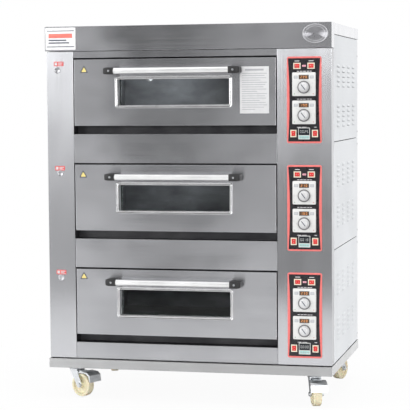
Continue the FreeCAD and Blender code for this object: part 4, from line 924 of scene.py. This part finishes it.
def cap_badges():
    """A white plate with generic stripes on the left of the hood, and a blank oval one on the right."""
    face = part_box("top_cap")[0].y
    shape = Shape()
    left, bottom, right, top = -606 * MM, 1482 * MM, -474 * MM, 1575 * MM
    shape.slab((left, bottom), (right, top), face - 1.2 * MM, face + 0.3 * MM, "badge", 3 * MM, 0.4 * MM)
    lines = face - 1.35 * MM
    bars = (
        (6, 78, 126, 81, "slate"), (6, 12, 126, 15, "slate"),
        (14, 50, 118, 68, "coral"), (14, 38, 92, 43, "slate"), (14, 27, 104, 32, "slate"),
    )
    for x_low, z_low, x_high, z_high, key in bars:
        corner = (left + x_low * MM, bottom + z_low * MM)
        opposite = (left + x_high * MM, bottom + z_high * MM)
        shape.slab(corner, opposite, lines, face, key, 1 * MM, 0.05 * MM)
    shape.piece("cap_badge_left", "oven")

    shape = Shape()
    centre_x, centre_z = 543 * MM, 1534.5 * MM
    half_x, half_z = 52 * MM, 38 * MM

    def oval(scale, proud):
        angles = [2 * math.pi * step / 72 for step in range(72)] if scale else [0.0]
        return [(centre_x + half_x * scale * math.cos(a), face - proud * MM,
                 centre_z + half_z * scale * math.sin(a)) for a in angles]

    section = (
        (0.0, -0.3), (1.0, -0.3), (1.0, 0.9), (0.985, 1.5), (0.95, 1.8), (0.915, 1.5), (0.9, 1.0), (0.0, 1.0),
    )
    shape.loft([oval(scale, proud) for scale, proud in section], "emblem")
    for outer, inner, proud in ((1.02, 0.93, 2.2), (0.8, 0.74, 1.5)):
        ring = (
            (inner, 0.5), (inner, proud - 0.4), (inner + 0.02, proud),
            (outer - 0.02, proud), (outer, proud - 0.4), (outer, 0.5),
        )
        shape.loft([oval(scale, height) for scale, height in ring], "emblem_rim", ring=True)
    shape.piece("cap_badge_right", "oven")


# Middle of each pillar label, and of the plug under it, across and above the floor.
PILLAR_LABELS = {1: (-553.5, 1424), 2: (-553.5, 984), 3: (-553.5, 542)}
PILLAR_PLUGS = {1: (-560, 1397), 2: (-552, 963), 3: (-554, 519)}


def pillar_fittings(deck):
    """Red label with pale fields, and a pressed steel plug under it."""
    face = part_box("front_panels")[0].y
    x, z = (value * MM for value in PILLAR_LABELS[deck])
    shape = Shape()
    shape.tile(x, z, 43, 19, face - 0.25 * MM, face + 0.1 * MM, "label", 2, 0.08)
    fields = ((-12.5, 0, 11, 12), (7.5, 4, 21, 3), (4.5, -0.75, 15, 2.5), (7.5, -5, 21, 2))
    for right, up, wide, tall in fields:
        shape.tile(x + right * MM, z + up * MM, wide, tall, face - 0.33 * MM, face, "paper")
    shape.piece(f"pillar_label_{deck}", "oven")
    x, z = (value * MM for value in PILLAR_PLUGS[deck])
    steps = mm((
        (0, -0.4), (13.5, -0.4), (13.5, 0.3), (12.9, 1.1), (11.6, 1.5), (10.4, 1.3), (9.4, 0.7), (0, 0.5),
    ))
    shape = Shape()
    shape.turned(steps, (x, face, z), (0, -1, 0), "plug", 48)
    shape.piece(f"pillar_plug_{deck}", "oven")


cap_badges()
for deck in DECKS:
    pillar_fittings(deck)


# --- Side louvres and panel screws ---------------------------------------------------------------

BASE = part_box("body_frame")[0].z
LOUVRE_COLUMNS = [(-162.5 + 145 * column) * MM for column in range(4)]
LOUVRE_BLOCKS = (130, 320, 604, 774, 1022, 1188)
LOUVRE_PITCH = 20.5
SEAM_HEIGHTS = (42, 514, 959, 1352)
SIDE_SCREW = mm(((0, -0.5), (3.8, -0.5), (3.8, 0.3), (3.4, 1.2), (2.2, 1.8), (0, 2.0)))
REAR_SCREW = mm(((0, -0.5), (4.5, -0.5), (4.5, 0.3), (4.0, 1.3), (2.6, 2.0), (0, 2.3)))
SCREW_DEPTH = 392 * MM
SCREW_INSET = 28


def louvre(shape, side, skin, middle_y, middle_z):
    """Pressed hood over one slot: shut at the top and ends, open downwards."""
    section = (
        (-0.4, 7.5), (0.5, 7.3), (1.5, 5.8), (2.3, 3.2), (2.9, 0.2), (3.0, -2.6), (2.2, -2.9), (2.0, 0.2),
        (1.2, 3.6), (-0.4, 5.2),
    )
    stations = 11
    loops = []
    for step in range(stations):
        along = -1 + 2 * step / (stations - 1)
        swell = max(0.04, (1 - abs(along) ** 3)) ** 0.6
        y = middle_y + along * 37.5 * MM
        loops.append([(side * (skin + max(offset * swell, -0.4) * MM), y, middle_z + rise * MM)
                      for offset, rise in section])
    shape.loft(loops, "satin")


def side_details():
    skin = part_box("side_panels")[1].x
    for side, label in ((-1, "left"), (1, "right")):
        shape = Shape()
        for block in LOUVRE_BLOCKS:
            for row in range(5):
                height = BASE + (block + LOUVRE_PITCH * row) * MM
                for middle in LOUVRE_COLUMNS:
                    louvre(shape, side, skin, middle, height)
        shape.piece(f"{label}_louvre_hoods", "oven")
        screws = Shape()
        for low, high in zip(SEAM_HEIGHTS, SEAM_HEIGHTS[1:]):
            for height in (low + SCREW_INSET, high - SCREW_INSET):
                spot = (side * skin, SCREW_DEPTH, BASE + height * MM)
                screws.turned(SIDE_SCREW, spot, (side, 0, 0), "zinc_screw", 20)
        screws.piece(f"{label}_panel_screws", "oven")
    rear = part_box("back_panel")[1].y
    screws = Shape()
    for height in (60, 430, 800, 1150, 1390):
        for across in (-585, -200, 200, 585):
            screws.turned(REAR_SCREW, (across * MM, rear, BASE + height * MM), (0, 1, 0), "zinc_screw", 20)
    screws.piece("back_panel_screws", "oven")


side_details()


# --- Castor wheels -------------------------------------------------------------------------------


def castor_wheel(label):
    """Turned nylon wheel: crowned tread, deep web with fillets, and a steel-bushed hub."""
    roll = JOINTS[f"wheel_{label}_roll"]
    profile = mm((
        (6.6, 19.0), (11.0, 19.0), (12.2, 18.2), (13.4, 12.0), (15.5, 8.4), (19.0, 6.9), (30.0, 6.6),
        (34.5, 7.4), (37.0, 9.6), (38.6, 14.4), (39.6, 16.4), (41.4, 17.0), (46.0, 17.0), (48.4, 16.2),
        (49.6, 13.6), (50.0, 9.0), (50.0, 3.0),
    ))
    profile += [(radius, -along) for radius, along in reversed(profile)]
    shape = Shape()
    shape.turned(profile, roll["pos_m"], roll["axis"], "nylon", 72, ring=True)
    shape.piece(f"castor_tread_{label}", f"castor_wheel_{label}", [f"castor_wheel_{label}"])


for label in CASTORS:
    castor_wheel(label)


# --- Camera --------------------------------------------------------------------------------------

CAMERA_SPOT = (1.5976, -6.6621, 1.2831)
YAW, PITCH, ROLL = (math.radians(angle) for angle in (-13.539, -3.957, -0.422))

ahead = Vector((math.sin(YAW) * math.cos(PITCH), math.cos(YAW) * math.cos(PITCH), math.sin(PITCH)))
level = Vector((math.cos(YAW), -math.sin(YAW), 0))
upward = level.cross(ahead)
across = level * math.cos(ROLL) + upward * math.sin(ROLL)
above = upward * math.cos(ROLL) - level * math.sin(ROLL)
lens = bpy.data.cameras.new("camera")
lens.lens = 137.86
lens.sensor_width = 36
lens.clip_end = 60
camera = bpy.data.objects.new("camera", lens)
placement = Matrix((across, above, -ahead)).transposed().to_4x4()
placement.translation = CAMERA_SPOT
camera.matrix_world = placement
bpy.context.scene.collection.objects.link(camera)
bpy.context.scene.camera = camera
bpy.context.scene.view_settings.view_transform = "Standard"


# --- Studio: pale floor, soft boxes painted on the world, and one broad overhead light -----------


class Sky(Nodes):
    """Brightness of the studio by direction: azimuth from the front, and elevation, in degrees."""

    def __init__(self):
        world = bpy.data.worlds.new("studio")
        world.use_nodes = True
        bpy.context.scene.world = world
        self.tree = world.node_tree
        self.background = self.tree.nodes["Background"]
        direction = self.add("ShaderNodeTexCoord").outputs["Generated"]
        x, y, z = self.add("ShaderNodeSeparateXYZ", Vector=direction).outputs
        turn = self.math("ARCTAN2", x, self.math("MULTIPLY", y, -1.0))
        self.azimuth = self.math("MULTIPLY", turn, 180 / math.pi)
        self.elevation = self.math("MULTIPLY", self.math("ARCSINE", z, 0.0), 180 / math.pi)

    def rise(self, value, start, end):
        """0 below start, 1 above end, smooth between. Falls instead if end is below start."""
        ends = (0.0, 1.0) if end > start else (1.0, 0.0)
        ramp = self.span(value, *ends, min(start, end), max(start, end))
        ramp.node.interpolation_type = "SMOOTHSTEP"
        return ramp

    def window(self, value, low, high, soft):
        rising = self.rise(value, low - soft, low + soft)
        falling = self.rise(value, high + soft, high - soft)
        return self.math("MULTIPLY", rising, falling)

    def blend(self, factor, a, b):
        node = self.add("ShaderNodeMix", Factor=factor, A=a, B=b)
        return node.outputs[0]


def studio():
    """A dark strip and a bright one dead ahead, tall soft boxes at each side, a dim surround."""
    sky = Sky()
    front_right = sky.blend(sky.rise(sky.elevation, -3.0, -0.5), 0.18, 0.6)
    front = sky.blend(sky.rise(sky.azimuth, -18, -16), 0.85, front_right)
    front = sky.blend(sky.window(sky.azimuth, -13.4, -10.6, 0.6), front, 0.8)
    front = sky.blend(sky.window(sky.azimuth, -17, -12.9, 0.9), front, 0.02)
    front = sky.blend(sky.rise(sky.elevation, 5, 14), front, 0.15)
    left_level = sky.rise(sky.elevation, -5.2, -0.6)
    right_level = sky.rise(sky.elevation, -2.5, 0.4)
    high_part = sky.rise(sky.elevation, 0.3, 1.2)
    left_box = sky.window(sky.azimuth, -75, -26, 3)
    left_value = sky.blend(high_part, sky.blend(left_level, 0.5, 1.9), 4.2)
    left_value = sky.blend(sky.rise(sky.elevation, -6, -9), left_value, 1.5)
    above_boxes = sky.rise(sky.elevation, 7, 13)
    left_value = sky.blend(above_boxes, left_value, 2.8)
    right_box = sky.window(sky.azimuth, 3, 60, 3)
    right_value = sky.blend(high_part, sky.blend(right_level, 0.04, 1.1), 4.4)
    right_value = sky.blend(above_boxes, right_value, 1.1)
    value = sky.blend(left_box, front, left_value)
    value = sky.blend(right_box, value, right_value)
    turned = sky.math("ABSOLUTE", sky.azimuth, 0.0)
    for start, end, level in ((62, 84, 0.94), (112, 130, 0.5), (148, 162, 1.15)):
        value = sky.blend(sky.rise(turned, start, end), value, level)
    ahead_only = sky.rise(turned, 55, 30)
    ceiling = sky.blend(ahead_only, 0.9, 0.45)
    value = sky.blend(sky.rise(sky.elevation, 26, 44), value, ceiling)
    value = sky.blend(sky.rise(sky.elevation, 52, 66), value, 1.9)
    below = sky.blend(ahead_only, 0.6, 0.3)
    value = sky.blend(sky.rise(sky.elevation, -7, -12), value, below)
    seen = sky.add("ShaderNodeLightPath").outputs["Is Camera Ray"]
    value = sky.blend(seen, value, 1.0)
    sky.background.inputs["Color"].default_value = (1, 1, 1, 1)
    sky.tree.links.new(value, sky.background.inputs["Strength"])


def floor():
    """Round pale floor that fades into the white backdrop."""
    mesh = bmesh.new()
    rings = [0.0, 0.6, 1.2, 2.0, 2.8, 3.6, 4.6]
    rows = []
    for radius in rings:
        if radius == 0:
            rows.append([mesh.verts.new((0, 0, 0))])
            continue
        angles = [2 * math.pi * step / 96 for step in range(96)]
        rows.append([mesh.verts.new((radius * math.cos(a), radius * math.sin(a), 0)) for a in angles])
    for first, second in zip(rows, rows[1:]):
        for step in range(96):
            following = (step + 1) % 96
            near = [first[following % len(first)], first[step % len(first)]]
            mesh.faces.new(list(dict.fromkeys([*near, second[step], second[following]])))
    data = bpy.data.meshes.new("studio_floor")
    mesh.to_mesh(data)
    mesh.free()
    item = bpy.data.objects.new("studio_floor", data)
    bpy.context.scene.collection.objects.link(item)
    look = Look("studio_floor_paint", 0.0)
    shade = look.noise((2.5, 2.5, 2.5), 3.0)
    look.color(look.mix(look.span(shade, 0, 1, 0.3, 0.7), (0.61, 0.61, 0.61), (0.65, 0.65, 0.65)))
    look.roughness(look.span(shade, 0.55, 0.7, 0.3, 0.7))
    distance = look.add("ShaderNodeVectorMath", Vector=look.place)
    distance.operation = "LENGTH"
    seen = look.add("ShaderNodeLightPath").outputs["Is Camera Ray"]
    backdrop = look.span(distance.outputs["Value"], 0.95, 1.0, 0.8, 1.6)
    rim = look.span(distance.outputs["Value"], 0.0, 1.0, 3.3, 4.3)
    kept = look.math("MULTIPLY", look.math("SUBTRACT", 1.0, seen), rim)
    fade = look.math("ADD", look.math("MULTIPLY", seen, backdrop), kept)
    glow = look.add("ShaderNodeEmission")
    glow.inputs["Color"].default_value = (1, 1, 1, 1)
    glow.inputs["Strength"].default_value = 1.0
    clear = look.add("ShaderNodeBsdfTransparent")
    beyond = look.add("ShaderNodeMixShader", Fac=seen)
    look.tree.links.new(clear.outputs[0], beyond.inputs[1])
    look.tree.links.new(glow.outputs[0], beyond.inputs[2])
    blend = look.add("ShaderNodeMixShader", Fac=fade)
    look.tree.links.new(look.shader.outputs[0], blend.inputs[1])
    look.tree.links.new(beyond.outputs[0], blend.inputs[2])
    look.tree.links.new(blend.outputs[0], look.tree.nodes["Material Output"].inputs["Surface"])
    data.materials.append(look.material)


def lamp(name, spot, target, energy, size, color=(1, 1, 1)):
    """Soft round lamp aimed at a point, seen by nothing but what it lights."""
    data = bpy.data.lights.new(name, "AREA")
    data.energy = energy
    data.color = color
    data.shape = "DISK"
    data.size = size
    item = bpy.data.objects.new(name, data)
    item.visible_camera = False
    item.visible_glossy = False
    item.visible_transmission = False
    item.location = spot
    item.rotation_euler = (Vector(target) - Vector(spot)).to_track_quat("-Z", "Y").to_euler()
    bpy.context.scene.collection.objects.link(item)


studio()
floor()
lamp("overhead", (0.3, -0.6, 4.2), (0, 0, 0.6), 110, 2.6)
for deck, energy in ((1, 2.0), (2, 0.9), (3, 0.05)):
    low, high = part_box(f"door_{deck}_glass")
    spot = (low.x + 60 * MM, 0.0, high.z + 12 * MM)
    lamp(f"chamber_glow_{deck}", spot, (low.x - 60 * MM, 0.25, low.z), energy, 0.3, (0.95, 0.97, 1.0))
